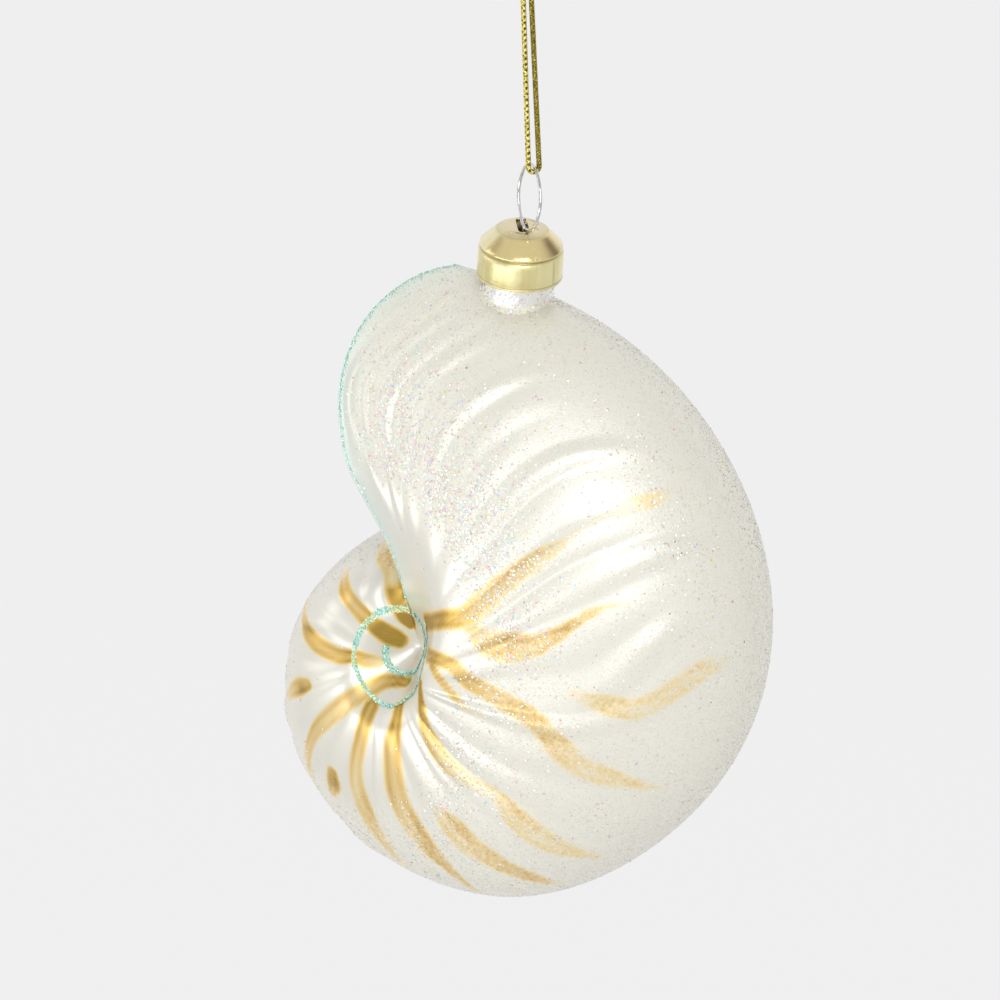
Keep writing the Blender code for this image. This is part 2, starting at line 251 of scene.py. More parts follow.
relief = {
    # where the grooves between the folds lie on the middle of the flank, as parts of the turn
    "grooves": [0.0, 0.02, 0.065, 0.112, 0.15, 0.19, 0.225, 0.265, 0.30, 0.335, 0.375, 0.41, 0.45, 0.472,
                0.508, 0.555, 0.572, 0.605, 0.64, 0.68, 0.70, 0.73, 0.768, 0.797, 0.822, 0.85, 0.874, 0.896,
                0.919, 0.935, 0.95, 0.962, 0.976, 0.985, 1.0],
    # and those that go on inwards, by the lip
    "innerGrooves": [0.797, 0.822, 0.85, 0.896, 0.936, 0.958, 0.974, 1.0],
    # how far the grooves have moved on by the keel, and how far back they lie by the navel
    "turns": [0.0, 0.66, 0.745, 0.78, 0.80, 0.825, 0.85, 0.874, 0.92, 0.98, 1.0],
    "keelward": [0.0, 0.0, 0.042, 0.030, 0.018, 0.009, 0.003, -0.014, -0.020, -0.018, -0.01],
    "navelward": [0.0, 0.0, 0.0, 0.004, 0.004, 0.0, -0.004, 0.010, 0.018, 0.020, 0.0],
    "foldDepth": 0.42 * mm,
    "roundness": 0.6,
    "waveDepth": 0.25 * mm,
    "depthTurns": [0, 0.3, 0.5, 0.7, 0.78, 0.86, 0.90, 0.95, 1.0],
    "depths": [0.60, 0.70, 0.90, 1.3, 1.6, 1.6, 1.4, 1.6, 2.0],
    # how far out from the navel they begin, and the fold that begins further out than its neighbours
    "start": 0.42,
    "lateFold": 20,
    "lateStart": 0.22,
    # and how far up the flank they reach, on the near side and less on the far one
    "farShort": 0.15,
    "reachTurns": [0.70, 0.74, 0.83, 0.87, 0.955, 0.975],
    "reaches": [0.74, 0.79, 0.79, 0.72, 0.72, 0.82],
}


def foldTurn(row, share):
    # turns, straightened along the grooves; near the navel the grooves run ahead of the growth lines
    across = 1 - np.abs(share)
    turn = np.clip(row, 0, 1)
    ahead = 0.05 * ramp(turn, 0.45, 0.7) * (1 - ramp(turn, 0.86, 0.93)) * (1 - ramp(across, 0.3, 0.52))
    ahead = ahead + np.interp(turn, relief["turns"], relief["keelward"]) * ramp(across, 0.66, 0.90)
    behind = np.interp(turn, relief["turns"], relief["navelward"]) * (1 - ramp(across, 0.45, 0.74))
    return turn - ahead + behind


def foldHeight(row, share):
    # Folds fade at navel and keel, and each has its own depth and reaches its own way up the flank.
    across = 1 - np.abs(share)
    turn = foldTurn(row, share)
    wander = 0.14 * np.sin(9 * across + 14 * turn) + 0.10 * np.sin(23 * across - 31 * turn + 1)
    phase = np.interp(turn, relief["grooves"], np.arange(len(relief["grooves"])))
    phase = phase + wander * ramp(across, 0.3, 0.6)
    number = np.floor(phase)
    own = 1 + 0.30 * np.sin(4.1 * number) + 0.22 * np.sin(15 * across + 2.6 * number)
    outer = (0.5 - 0.5 * np.cos(2 * math.pi * phase)) ** relief["roundness"] * own
    inner = np.interp(turn, relief["innerGrooves"], np.arange(len(relief["innerGrooves"])))
    inner = (0.5 - 0.5 * np.cos(2 * math.pi * inner)) ** 0.8
    blend = (1 - ramp(across, 0.56, 0.68)) * ramp(turn, 0.84, 0.86)
    reach = np.interp(turn, relief["reachTurns"], relief["reaches"]) - relief["farShort"] * (share > 0)
    reach = reach + 0.05 * np.sin(2.3 * number + 1)
    start = relief["start"] + 0.07 * ramp(turn, 0.70, 0.78) * (1 - ramp(turn, 0.95, 0.98))
    start = start + relief["lateStart"] * (number == relief["lateFold"])
    height = outer * (1 - blend) + 1.2 * inner * blend
    return height * ramp(across, start, start + 0.18) * (1 - ramp(across, reach, reach + 0.14))


def reliefHeight(row, share):
    # folds along the growth lines, and slow dents over them on the outer flank
    across = 1 - np.abs(share)
    turn = np.clip(row, 0, 1)
    depth = relief["foldDepth"] * np.interp(turn, relief["depthTurns"], relief["depths"])
    fold = depth * foldHeight(row, share)
    wave = relief["waveDepth"] * np.sin(37 * turn + 7 * across) * np.sin(19 * across - 21 * turn)
    wave = wave * ramp(across, 0.5, 0.7) * (1 - ramp(across, 0.74, 0.84)) * ramp(turn, 0.4, 0.6)
    return (fold + wave) * ramp(row, 0, 0.03) * (1 - ramp(row, 0.99, 1.0))


def shellPoints(row, share):
    return basePoints(row, share) + baseNormals(row, share) * reliefHeight(row, share)[..., None]


def evenShares(count):
    # shares from keel to near navel, evenly spaced over the section of the whorl's last part
    share = np.linspace(0, 1, 6001)
    run = runAlong(whorlPoints(np.full_like(share, 0.85), share)[0])
    return np.interp(np.linspace(0, run[-1], count + 1), run, share)


def shellGrid():
    whorlRows, lipRows, mouthRows = shell["rows"]
    rows = np.concatenate([np.linspace(0, 0.8, whorlRows, endpoint=False), np.linspace(0.8, 1, lipRows),
                           1 + np.arange(1, mouthRows) / mouthRows])
    shares = evenShares(shell["columns"])
    shares = np.concatenate([-shares[:0:-1], shares])
    return rows[:, None], shares[None, :]


# strokes of gold lacquer: row, across, half the width in mm and strength at points along each

strokes = {
    "routes": [
        [(0.89, 0.345, 1.4, 0.85), (0.84, 0.485, 1.5, 0.85), (0.828, 0.521, 1.6, 0.88),
         (0.815, 0.558, 1.7, 0.80), (0.816, 0.593, 2.0, 0.62), (0.818, 0.64, 1.9, 0.6),
         (0.819, 0.70, 1.5, 0.66), (0.82, 0.74, 0.8, 0.4), (0.823, 0.78, 0.6, 0.2), (0.825, 0.83, 1.2, 0.22),
         (0.826, 0.87, 1.4, 0.32), (0.83, 0.91, 1.0, 0.1)],
        [(0.815, 0.545, 0.8, 0.5), (0.80, 0.565, 1.2, 0.5), (0.776, 0.59, 2.3, 0.72),
         (0.766, 0.62, 2.4, 0.88), (0.761, 0.66, 1.6, 0.85), (0.768, 0.705, 0.9, 0.9),
         (0.773, 0.74, 0.6, 0.6), (0.776, 0.80, 0.5, 0.15)],
        [(0.718, 0.70, 0.8, 0.2), (0.712, 0.74, 1.6, 0.5), (0.709, 0.785, 1.8, 0.45),
         (0.716, 0.82, 1.9, 0.36), (0.728, 0.86, 2.0, 0.32), (0.738, 0.90, 1.8, 0.28),
         (0.745, 0.94, 1.0, 0.1)],
        [(0.80, 0.40, 1.2, 0.9), (0.784, 0.476, 1.2, 0.82), (0.757, 0.532, 1.3, 0.75),
         (0.728, 0.56, 1.5, 0.75), (0.71, 0.60, 1.6, 0.62), (0.692, 0.655, 1.7, 0.86),
         (0.674, 0.69, 2.0, 0.6), (0.659, 0.74, 2.3, 0.32), (0.657, 0.785, 1.9, 0.34),
         (0.658, 0.83, 1.1, 0.3), (0.661, 0.89, 0.6, 0.1)],
        [(0.79, 0.45, 0.8, 0.8), (0.752, 0.50, 0.8, 0.7), (0.715, 0.525, 0.8, 0.6), (0.69, 0.555, 0.7, 0.5),
         (0.68, 0.60, 0.5, 0.1)],
        [(0.70, 0.42, 0.8, 0.85), (0.63, 0.495, 0.9, 0.9), (0.593, 0.52, 1.2, 0.75), (0.582, 0.56, 1.6, 0.6),
         (0.59, 0.61, 1.3, 0.4), (0.597, 0.65, 1.2, 0.4), (0.592, 0.685, 1.8, 0.75),
         (0.589, 0.735, 2.2, 0.55), (0.589, 0.79, 1.8, 0.42), (0.592, 0.84, 1.0, 0.35),
         (0.595, 0.89, 0.6, 0.1)],
        [(0.533, 0.605, 0.9, 0.3), (0.536, 0.64, 1.9, 0.85), (0.538, 0.69, 2.1, 0.65),
         (0.545, 0.745, 1.9, 0.5), (0.551, 0.80, 1.5, 0.5), (0.556, 0.85, 1.0, 0.35),
         (0.559, 0.90, 0.5, 0.1)],
        [(0.528, 0.39, 1.0, 0.85), (0.518, 0.465, 1.2, 0.85), (0.496, 0.52, 1.6, 0.7),
         (0.489, 0.58, 1.9, 0.7), (0.494, 0.63, 1.9, 0.7), (0.501, 0.695, 1.7, 0.7), (0.506, 0.75, 1.0, 0.7),
         (0.508, 0.84, 0.6, 0.3)],
        [(0.425, 0.415, 1.2, 0.8), (0.428, 0.50, 1.3, 0.8), (0.43, 0.56, 1.4, 0.65),
         (0.438, 0.61, 1.6, 0.65), (0.45, 0.67, 1.7, 0.6), (0.46, 0.745, 1.0, 0.45),
         (0.465, 0.80, 0.6, 0.1)],
        [(0.51, 0.28, 1.1, 0.8), (0.44, 0.295, 1.2, 0.8), (0.396, 0.335, 1.4, 0.62), (0.37, 0.43, 1.6, 0.5),
         (0.355, 0.54, 1.6, 0.55), (0.356, 0.59, 1.2, 0.75), (0.364, 0.645, 0.9, 0.75),
         (0.376, 0.71, 0.6, 0.4)],
        [(0.399, 0.61, 1.1, 0.9), (0.403, 0.635, 1.4, 0.95), (0.404, 0.66, 0.9, 0.7)],
        [(0.296, 0.58, 1.1, 0.85), (0.297, 0.61, 1.5, 0.9), (0.30, 0.65, 1.3, 0.6), (0.306, 0.70, 0.8, 0.3)],
        [(0.21, 0.78, 0.6, 0.4), (0.219, 0.68, 1.1, 0.85), (0.232, 0.585, 1.4, 0.9),
         (0.245, 0.51, 1.3, 0.75), (0.25, 0.435, 1.1, 0.85), (0.279, 0.365, 1.2, 0.5),
         (0.304, 0.31, 0.9, 0.3)],
        [(0.136, 0.75, 0.8, 0.25), (0.136, 0.645, 1.2, 0.85), (0.13, 0.55, 1.2, 0.75),
         (0.127, 0.43, 1.4, 0.95), (0.15, 0.29, 1.6, 1.0), (0.175, 0.21, 1.3, 0.9)],
        # along this last stroke, the weak stretch is a painted highlight, and the full strength inwards of
        # it a painted reflection of the mouth's dark inside
        [(0.10, 0.86, 1.0, 0.3), (0.075, 0.76, 1.3, 0.75), (0.056, 0.70, 1.4, 0.42),
         (0.046, 0.64, 1.5, 0.42), (0.039, 0.59, 1.6, 1.0), (0.031, 0.525, 1.7, 1.0),
         (0.022, 0.42, 1.4, 1.0), (0.017, 0.32, 0.9, 1.0)],
    ],
    "samples": 70,
    "margin": 5 * mm,                   # beyond which a stroke isn't looked for
    "ridgeHighlight": 0.30,                      # how much weaker the middle of a stroke is: a painted highlight of the ridge under it
    "farEnd": (0.72, 0.82),             # across, where the far side's strokes fade out
}


def strokeMask(points, hand):
    # the strength on a stroke's middle line, falling to 0 past its width; the far side's strokes are shorter
    mask = np.zeros(len(points))
    for route in strokes["routes"]:
        route = np.array(route)
        ends = shellPoints(route[:, 0], hand * (1 - route[:, 1]))
        t = np.linspace(0, 1, strokes["samples"])
        line, middle = through(route, t), through(ends, t)
        low, high = middle.min(0) - strokes["margin"], middle.max(0) + strokes["margin"]
        near = np.nonzero(np.all((points > low) & (points < high), axis=1))[0]
        away = np.linalg.norm(points[near, None, :] - middle[None, :, :], axis=-1)
        best = away.argmin(axis=1)
        width, strength = np.maximum(line[best, 2], 0.3) * mm, np.clip(line[best, 3], 0, 1)
        out = away[np.arange(len(near)), best] / width
        # painted highlight: the middle of a weaker stroke is paler, as if lit on the ridge beneath
        ridgeHighlight = strokes["ridgeHighlight"] * np.exp(-(out / 0.5)**2) * (1 - ramp(strength, 0.8, 0.95))
        value = strength * (1 - ramp(out, 0.6, 1.6)) * (1 - ridgeHighlight)
        if hand > 0:
            value = value * (1 - ramp(line[best, 1], *strokes["farEnd"]))
        mask[near] = np.maximum(mask[near], value)
    return mask


def lipDistance(points):
    # how far each point is from the lip, in batches; those well below it count as a metre away
    share = np.linspace(-0.74, 0.74, 150)
    lip = basePoints(np.ones_like(share), share)
    away = np.full(len(points), 1.0)
    near = np.nonzero(points[:, 2] > lip[:, 2].min() - 12 * mm)[0]
    for some in np.array_split(near, 12):
        away[some] = np.linalg.norm(points[some, None, :] - lip[None, :, :], axis=-1).min(axis=1)
    return away


# finishes

def newFinish(name):
    finish = bpy.data.materials.new(name)
    finish.use_nodes = True
    tree = finish.node_tree
    return finish, tree, tree.nodes["Principled BSDF"]


def node(tree, kind, **values):
    # a new node, with its settings and its sockets' values by name
    made = tree.nodes.new(kind)
    for key, value in values.items():
        if hasattr(made, key):
            setattr(made, key, value)
        else:
            made.inputs[key.replace("_", " ")].default_value = value
    return made


def maths(tree, operation, first, second, clamp=False):
    made = tree.nodes.new("ShaderNodeMath")
    made.operation, made.use_clamp = operation, clamp
    for socket, value in zip(made.inputs, (first, second)):
        if isinstance(value, (int, float)):
            socket.default_value = value
        else:
            tree.links.new(value, socket)
    return made.outputs[0]


def times(tree, first, second):
    return maths(tree, "MULTIPLY", first, second)


def swing(tree, value, amount):
    # how far a noise is from its middle, times an amount
    return times(tree, maths(tree, "SUBTRACT", value, 0.5), amount)


def attribute(tree, name, output="Fac"):
    return node(tree, "ShaderNodeAttribute", attribute_name=name).outputs[output]


def noise(tree, vector, scale, detail=2):
    made = node(tree, "ShaderNodeTexNoise", Scale=scale, Detail=detail)
    tree.links.new(vector, made.inputs["Vector"])
    return made.outputs["Fac"]


def objectPlace(tree):
    return node(tree, "ShaderNodeTexCoord").outputs["Object"]


def stretched(tree, vector, scale, turned=(0, 0, 0)):
    made = node(tree, "ShaderNodeMapping", Scale=scale, Rotation=turned)
    tree.links.new(vector, made.inputs["Vector"])
    return made.outputs["Vector"]


def mapped(tree, value, low, high, start=0.0, end=1.0):
    made = node(tree, "ShaderNodeMapRange", interpolation_type="SMOOTHSTEP")
    tree.links.new(value, made.inputs["Value"])
    for name, number in (("From Min", low), ("From Max", high), ("To Min", start), ("To Max", end)):
        made.inputs[name].default_value = number
    return made.outputs["Result"]


def tinted(tree, value, stops):
    made = tree.nodes.new("ShaderNodeValToRGB")
    points = made.color_ramp.elements
    points[0].position, points[0].color = stops[0][0], (*stops[0][1], 1)
    points[1].position, points[1].color = stops[-1][0], (*stops[-1][1], 1)
    for place, colour in stops[1:-1]:
        points.new(place).color = (*colour, 1)
    tree.links.new(value, made.inputs["Fac"])
    return made.outputs["Color"]


def mixed(tree, factor, first, second):
    # a mix of two colours, for which this node keeps its inputs 6 and 7 and its output 2
    made = node(tree, "ShaderNodeMix", data_type="RGBA")
    tree.links.new(factor, made.inputs["Factor"])
    for socket, colour in ((made.inputs[6], first), (made.inputs[7], second)):
        if isinstance(colour, tuple):
            socket.default_value = (*colour, 1)
        else:
            tree.links.new(colour, socket)
    return made.outputs[2]


def bumped(tree, height, strength, distance):
    made = node(tree, "ShaderNodeBump", Strength=strength, Distance=distance)
    tree.links.new(height, made.inputs["Height"])
    return made.outputs["Normal"]


def feed(tree, shader, **sources):
    # link each source to the shader's socket of that name
    for name, source in sources.items():
        tree.links.new(source, shader.inputs[name.replace("_", " ")])


lacquer = {
    # gold from where it is thinnest to where it is thickest, which also stands for painted shade in the
    # grooves
    "gold": [(0.0, (0.84, 0.74, 0.50)), (0.30, (0.82, 0.64, 0.29)), (0.6, (0.75, 0.50, 0.13)),
             (0.85, (0.64, 0.41, 0.08)), (1.0, (0.48, 0.30, 0.05))],
    "pearl": (0.706, 0.68, 0.60),
    "cream": (0.71, 0.695, 0.585),
    "cloud": (0.68, 0.64, 0.53),
    "teal": (0.54, 0.80, 0.74),
    "goldMetal": 0.68,
}


def pearlLacquer():
    finish, tree, shader = newFinish("pearl lacquer over silvered glass")
    place = objectPlace(tree)
    gold, frost = attribute(tree, "gold"), attribute(tree, "frost")
    streaks = noise(tree, attribute(tree, "growth", "Vector"), 1, 3)
    grains = noise(tree, place, 1300, 2)
    # brushed edges: streaks along the growth lines and frosting grains bite into the gold
    ragged = maths(tree, "ADD", swing(tree, streaks, mapped(tree, frost, 0.0, 1.0, 0.3, 0.8)),
                   swing(tree, grains, frost))
    ragged = times(tree, ragged, mapped(tree, gold, 0.0, 0.5))
    cover = maths(tree, "ADD", gold, ragged, clamp=True)
    creamy = times(tree, frost, mapped(tree, attribute(tree, "turn"), 0.55, 0.85, 0.45, 1.0))
    pearl = mixed(tree, creamy, lacquer["pearl"], lacquer["cream"])
    cloud = times(tree, mapped(tree, noise(tree, place, 60, 2), 0.35, 0.7), 0.20)
    pearl = mixed(tree, cloud, pearl, lacquer["cloud"])
    pearl = mixed(tree, attribute(tree, "teal"), pearl, lacquer["teal"])
    metalness = mapped(tree, frost, 0.0, 1.0, 0.35, 0.06)
    metalness = maths(tree, "ADD", metalness, times(tree, cover, lacquer["goldMetal"]), clamp=True)
    fine = times(tree, noise(tree, place, 2600, 2), maths(tree, "ADD", frost, 0.05))
    soft = times(tree, noise(tree, place, 240, 2), 0.8)
    feed(tree, shader, Metallic=metalness, Roughness=mapped(tree, frost, 0.0, 1.0, 0.36, 0.40),
         Base_Color=mixed(tree, mapped(tree, cover, 0.0, 0.34), pearl, tinted(tree, cover, lacquer["gold"])),
         Normal=bumped(tree, maths(tree, "ADD", fine, soft), 0.25, 0.00022))
    shader.inputs["IOR"].default_value = 3.4
    shader.inputs["Coat Weight"].default_value = 0.6
    shader.inputs["Coat Roughness"].default_value = 0.34
    return finish


frosting = {
    "turns": [0, 0.35, 0.5, 0.62, 0.78, 0.90, 1.0],
    "starts": [0.72, 0.67, 0.58, 0.53, 0.55, 0.55, 0.56],      # how far out from the navel it begins
}


def frostAmount(row, share):
    # frosting covers keel and outer flank, and leaves the navel, the mouth and a belt along the lip bare
    across = 1 - np.abs(share)
    turn = np.clip(row, 0, 1)
    inner = np.interp(turn, frosting["turns"], frosting["starts"])
    belt = ramp(row, 0.982, 0.992) * (1 - ramp(across, 0.70, 0.80))
    return ramp(across, inner - 0.06, inner + 0.10) * (1 - ramp(row, 1.0, 1.03)) * (1 - 0.9 * belt)


def makeShell():
    rows, shares = shellGrid()
    points = shellPoints(rows, shares)
    # soften the bend on the crest, where funnel and flank meet
    weight = 0.5 * np.exp(-((np.abs(shares) - 0.5) / 0.12)**2) * (1 - ramp(rows, 0.93, 1.0))
    for _ in range(shell["crestSoftening"]):
        middle = (points[:, :-2] + points[:, 2:]) / 2
        points[:, 1:-1] += (middle - points[:, 1:-1]) * weight[:, 1:-1, None]
    count, width = points.shape[0], points.shape[1] - 2

    def listed(values):
        values = np.broadcast_to(values, points.shape[:2])
        return np.concatenate([values[:, 1:-1].ravel(), values[:1, 0], values[:1, -1]])

    flat = np.stack([listed(points[..., axis]) for axis in range(3)], axis=1)
    faces = gridFaces(count, width, wrapRows=True)
    first = np.arange(count) * width
    after = np.roll(first, -1)
    nearPole = np.stack([first, after, np.full(count, count * width)], axis=1)
    farPole = np.stack([after + width - 1, first + width - 1, np.full(count, count * width + 1)], axis=1)
    mesh = makeMesh("glassShell", flat, faces, nearPole, farPole)
    row, share = listed(rows), listed(shares)
    across = 1 - np.abs(share)
    outside = 1 - ramp(row, 1, 1.01)
    gold = np.maximum(strokeMask(flat, -1), strokeMask(flat, 1)) * outside
    # the gold is made thicker, and so darker, in the grooves, as painted shade, and towards the navel
    groove = 1 - foldHeight(row, share)
    depth = 1 + 0.45 * (groove - 0.6) + 0.15 * (1 - ramp(across, 0.35, 0.6))
    fromLip = lipDistance(flat)
    teal = 0.24 * (1 - ramp(fromLip, 0.8 * mm, 9 * mm))**2 + 0.22 * (1 - ramp(fromLip, 0.3 * mm, 1.6 * mm))
    addFloat(mesh, "gold", np.clip(gold * depth, 0, 1))
    addFloat(mesh, "frost", frostAmount(row, share))
    addFloat(mesh, "teal", teal)
    addFloat(mesh, "turn", np.clip(row, 0, 1))
    # streaks lie along the growth lines, so they change quickly from row to row
    addVector(mesh, "growth", np.stack([row * 110, across * 7, share], axis=1))
    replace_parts(makePiece(mesh, pearlLacquer()), "glass_shell")


# cap frame: its own Z along the neck, which leans towards the keel

neck = {
    "foot": np.array([-4.1, 0, -66.6]) * mm,
    "lean": math.radians(6.5),
    "radius": 6.4 * mm,
    "skirt": 8.2 * mm,
    "fillet": 0.45 * mm,
    "top": 1.2 * mm,
    "segments": 144,
    "pearl": (0.69, 0.675, 0.56),
    "silver": (0.96, 0.96, 0.94),
}


def neckPlace(points):
    c, s = math.cos(neck["lean"]), math.sin(neck["lean"])
    x, y, z = points[..., 0], points[..., 1], points[..., 2]
    return neck["foot"] + np.stack([x * c + z * s, y, z * c - x * s], axis=-1)


def neckLocal(points):
    c, s = math.cos(neck["lean"]), math.sin(neck["lean"])
    x, y, z = np.moveaxis(points - neck["foot"], -1, 0)
    return np.stack([x * c - z * s, y, z * c + x * s], axis=-1)


def neckTerms(x, y):
    terms = [np.ones_like(x), x, y, x * x, x * y, y * y, x**3, x * y * y, y**4, x * x * y * y]
    return np.stack(terms, axis=-1)


def neckGround():
    # a surface of low degree, z over x and y in mm, fitted to the body round the neck
    rows, shares = shellGrid()
    body = neckLocal(shellPoints(rows[(rows[:, 0] > 0.8) & (rows[:, 0] <= 1)], shares)).reshape(-1, 3)
    body = body[(np.hypot(body[:, 0], body[:, 1]) < 14 * mm) & (body[:, 2] > -20 * mm)] / mm
    return np.linalg.lstsq(neckTerms(body[:, 0], body[:, 1]), body[:, 2], rcond=None)[0]


def neckPoints(ground, s, angle):
    # s from 0 to 1 climbs the skirt, which leaves the body smoothly, and from 1 to 2 the wall
    close = np.clip(s, 0, 1)
    out = neck["radius"] + (neck["skirt"] - neck["radius"]) * (1 - close)**1.6
    close = 1 - (out - neck["radius"]) / (neck["skirt"] - neck["radius"])
    x, y = out * np.cos(angle), out * np.sin(angle)
    rise = neckTerms(x / mm, y / mm) @ ground * mm - 0.25 * mm * (1 - close) + neck["fillet"] * close**3
    rise = rise + (neck["top"] - rise) * np.clip(s - 1, 0, 1)
    return neckPlace(np.stack([x, y, rise], axis=-1))


def makeNeck(ground):
    angle = np.linspace(0, 2 * math.pi, neck["segments"], endpoint=False)[None, :]
    s = np.concatenate([np.linspace(0, 1, 26), 1 + np.arange(1, 9) / 8])[:, None]
    points = neckPoints(ground, s, angle)
    faces = gridFaces(len(s), neck["segments"], wrapColumns=True)[:, ::-1]
    mesh = makeMesh("neckCollar", points.reshape(-1, 3), faces)
    addFloat(mesh, "bare", np.broadcast_to(ramp(s, 0.9, 1.25), points.shape[:2]))
    finish, tree, shader = newFinish("silvered glass under pearl lacquer")
    place = objectPlace(tree)
    patchy = swing(tree, noise(tree, place, 500, 3), 1.2)
    bare = mapped(tree, maths(tree, "ADD", attribute(tree, "bare"), patchy), 0.3, 0.7)
    feed(tree, shader, Base_Color=mixed(tree, bare, neck["pearl"], neck["silver"]),
         Metallic=mapped(tree, bare, 0.0, 1.0, 0.10, 0.92),
         Roughness=mapped(tree, bare, 0.0, 1.0, 0.42, 0.28),
         Normal=bumped(tree, noise(tree, place, 420, 3), 0.5, 0.0006))
    makePiece(mesh, finish)


# cap: one turned section, whose inner rows follow the slot

cap = {
    "outside": [(7.5, 0.0), (7.66, 0.08), (7.76, 0.3), (7.70, 0.5), (7.64, 0.62), (7.68, 0.8), (7.70, 2.6),
                (7.68, 4.2), (7.64, 5.2), (7.50, 5.42), (7.18, 5.56), (7.16, 5.70), (7.40, 5.84),
                (7.52, 6.05), (7.50, 6.28), (7.34, 6.54), (6.9, 7.0), (5.9, 7.98), (5.1, 8.78), (4.78, 9.1),
                (4.58, 9.22), (4.4, 9.3), (3.45, 9.62)],
    "slotRim": [(1.14, 9.88), (1.04, 9.9), (1.0, 9.82), (1.0, 9.4)],    # times the slot's size, and height
    "inside": [(3.85, 9.4), (6.9, 6.1), (6.9, 5.7), (7.2, 5.2), (7.2, 0.0)],
    "slot": (2.8, 1.0),
    "slotTurn": math.radians(42),
    "segments": 160,
    # dark lines in the creases: painted shade
    "creases": ((5.62, 0.15, 1.0), (0.62, 0.11, 0.85), (9.2, 0.09, 0.45)),    # height, width and strength
    "frontReflection": -54,                     # degrees round the cap from +X, middle of the side towards the camera, where the painted reflections lie
    # dark spots on the cone: painted reflections of something dark in the room
    "darkSpots": ((56, 15, 1.0), (-48, 9, 0.4)),    # degrees on from there, width in degrees and strength
    # dark lines down the band: painted reflections
    "reflectedLines": ((50, 1.8, 1.0), (-62, 2, 0.6)),
    "gold": ((0.79, 0.69, 0.30), (0.96, 0.87, 0.46)),
    # the cone's front, towards the camera: a painted reflection, warm gold between pale sides
    "cone": ((0.98, 0.78, 0.34), (1.0, 0.93, 0.54)),
    "patch": (0.74, 0.60, 0.25),
    # the sides of the cone away from the camera: a painted reflection of the pale room
    "sides": (0.97, 0.90, 0.64),
    "top": (0.80, 0.68, 0.42),
    # colour of the painted dark reflections
    "darkReflection": (0.24, 0.14, 0.04),
    # colour of the painted shade in the creases
    "creaseShade": (0.26, 0.19, 0.05),
}


def slotOutline(angle):
    # a rounded oblong with small teeth along one side, in order round the cap's middle
    long, wide = cap["slot"]
    power = 0.35
    along = long * np.sign(np.cos(angle)) * np.abs(np.cos(angle))**power
    beside = wide * np.sign(np.sin(angle)) * np.abs(np.sin(angle))**power
    teeth = 0.5 * ramp(np.abs(np.mod(along * 0.9 + 0.3, 1) - 0.5), 0.2, 0.3)
    beside = beside - np.where(beside > 0.9 * wide, teeth, 0)
    c, s = math.cos(cap["slotTurn"]), math.sin(cap["slotTurn"])
    x, y = (beside * c - along * s) * mm, (beside * s + along * c) * mm
    order = np.argsort(np.mod(np.arctan2(y, x), 2 * math.pi))
    return x[order], y[order]


def bumps(value, peaks):
    # the sum of bell curves, each with its middle, width and height
    return sum(high * np.exp(-((value - middle) / wide)**2) for middle, wide, high in peaks)


def makeCap():
    angle = np.linspace(0, 2 * math.pi, cap["segments"], endpoint=False)

    def turned(section):
        radius, height = np.array(section).T[:, :, None] * mm
        return np.stack([radius * np.cos(angle), radius * np.sin(angle), height + 0 * angle], axis=-1)

    x, y = slotOutline(angle)
    rim = np.stack([np.stack([x * more, y * more, np.full_like(x, height * mm)], axis=-1)
                    for more, height in cap["slotRim"]])
    points = neckPlace(np.concatenate([turned(cap["outside"]), rim, turned(cap["inside"])]))
    rows, columns = points.shape[:2]
    faces = gridFaces(rows, columns, wrapRows=True, wrapColumns=True)[:, ::-1]
    mesh = makeMesh("goldCap", points.reshape(-1, 3), faces)
    round_ = np.broadcast_to(angle[None, :], (rows, columns)).ravel()
    levels = np.array([*cap["outside"], *cap["slotRim"], *cap["inside"]])[:, 1]
    level = np.broadcast_to(levels[:, None], (rows, columns)).ravel()
    addVector(mesh, "turned", np.stack([np.cos(round_) * 7, np.sin(round_) * 7, level], axis=1))
    # painted reflections, placed by the angle round the cap from the side towards the camera: a warm front
    # on the cone, pale sides, dark spots and dark lines; and painted shade in the creases
    facing = (np.degrees(round_) - cap["frontReflection"] + 180) % 360 - 180
    darkReflection = bumps(facing, cap["darkSpots"]) * ramp(level, 5.9, 6.4) * (1 - ramp(level, 8.6, 9.2))
    reflectedLines = bumps(facing, cap["reflectedLines"]) * (1 - ramp(level, 5, 5.5)) * ramp(level, 0.5, 1)
    frontReflection = (1 - ramp(np.abs(facing - 8), 66, 72)) * ramp(level, 5.8, 6.1) * (1 - ramp(level, 9.1, 9.3))
    addFloat(mesh, "crease", bumps(level, cap["creases"]))
    addFloat(mesh, "cone", frontReflection)
    addFloat(mesh, "sides", ramp(np.abs(facing - 4), 52, 60) * ramp(level, 5.6, 5.9))
    addFloat(mesh, "top", ramp(level, 9.24, 9.3))
    addFloat(mesh, "darkReflection", darkReflection + 0.5 * reflectedLines)
    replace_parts(makePiece(mesh, capMetal()), "cap")


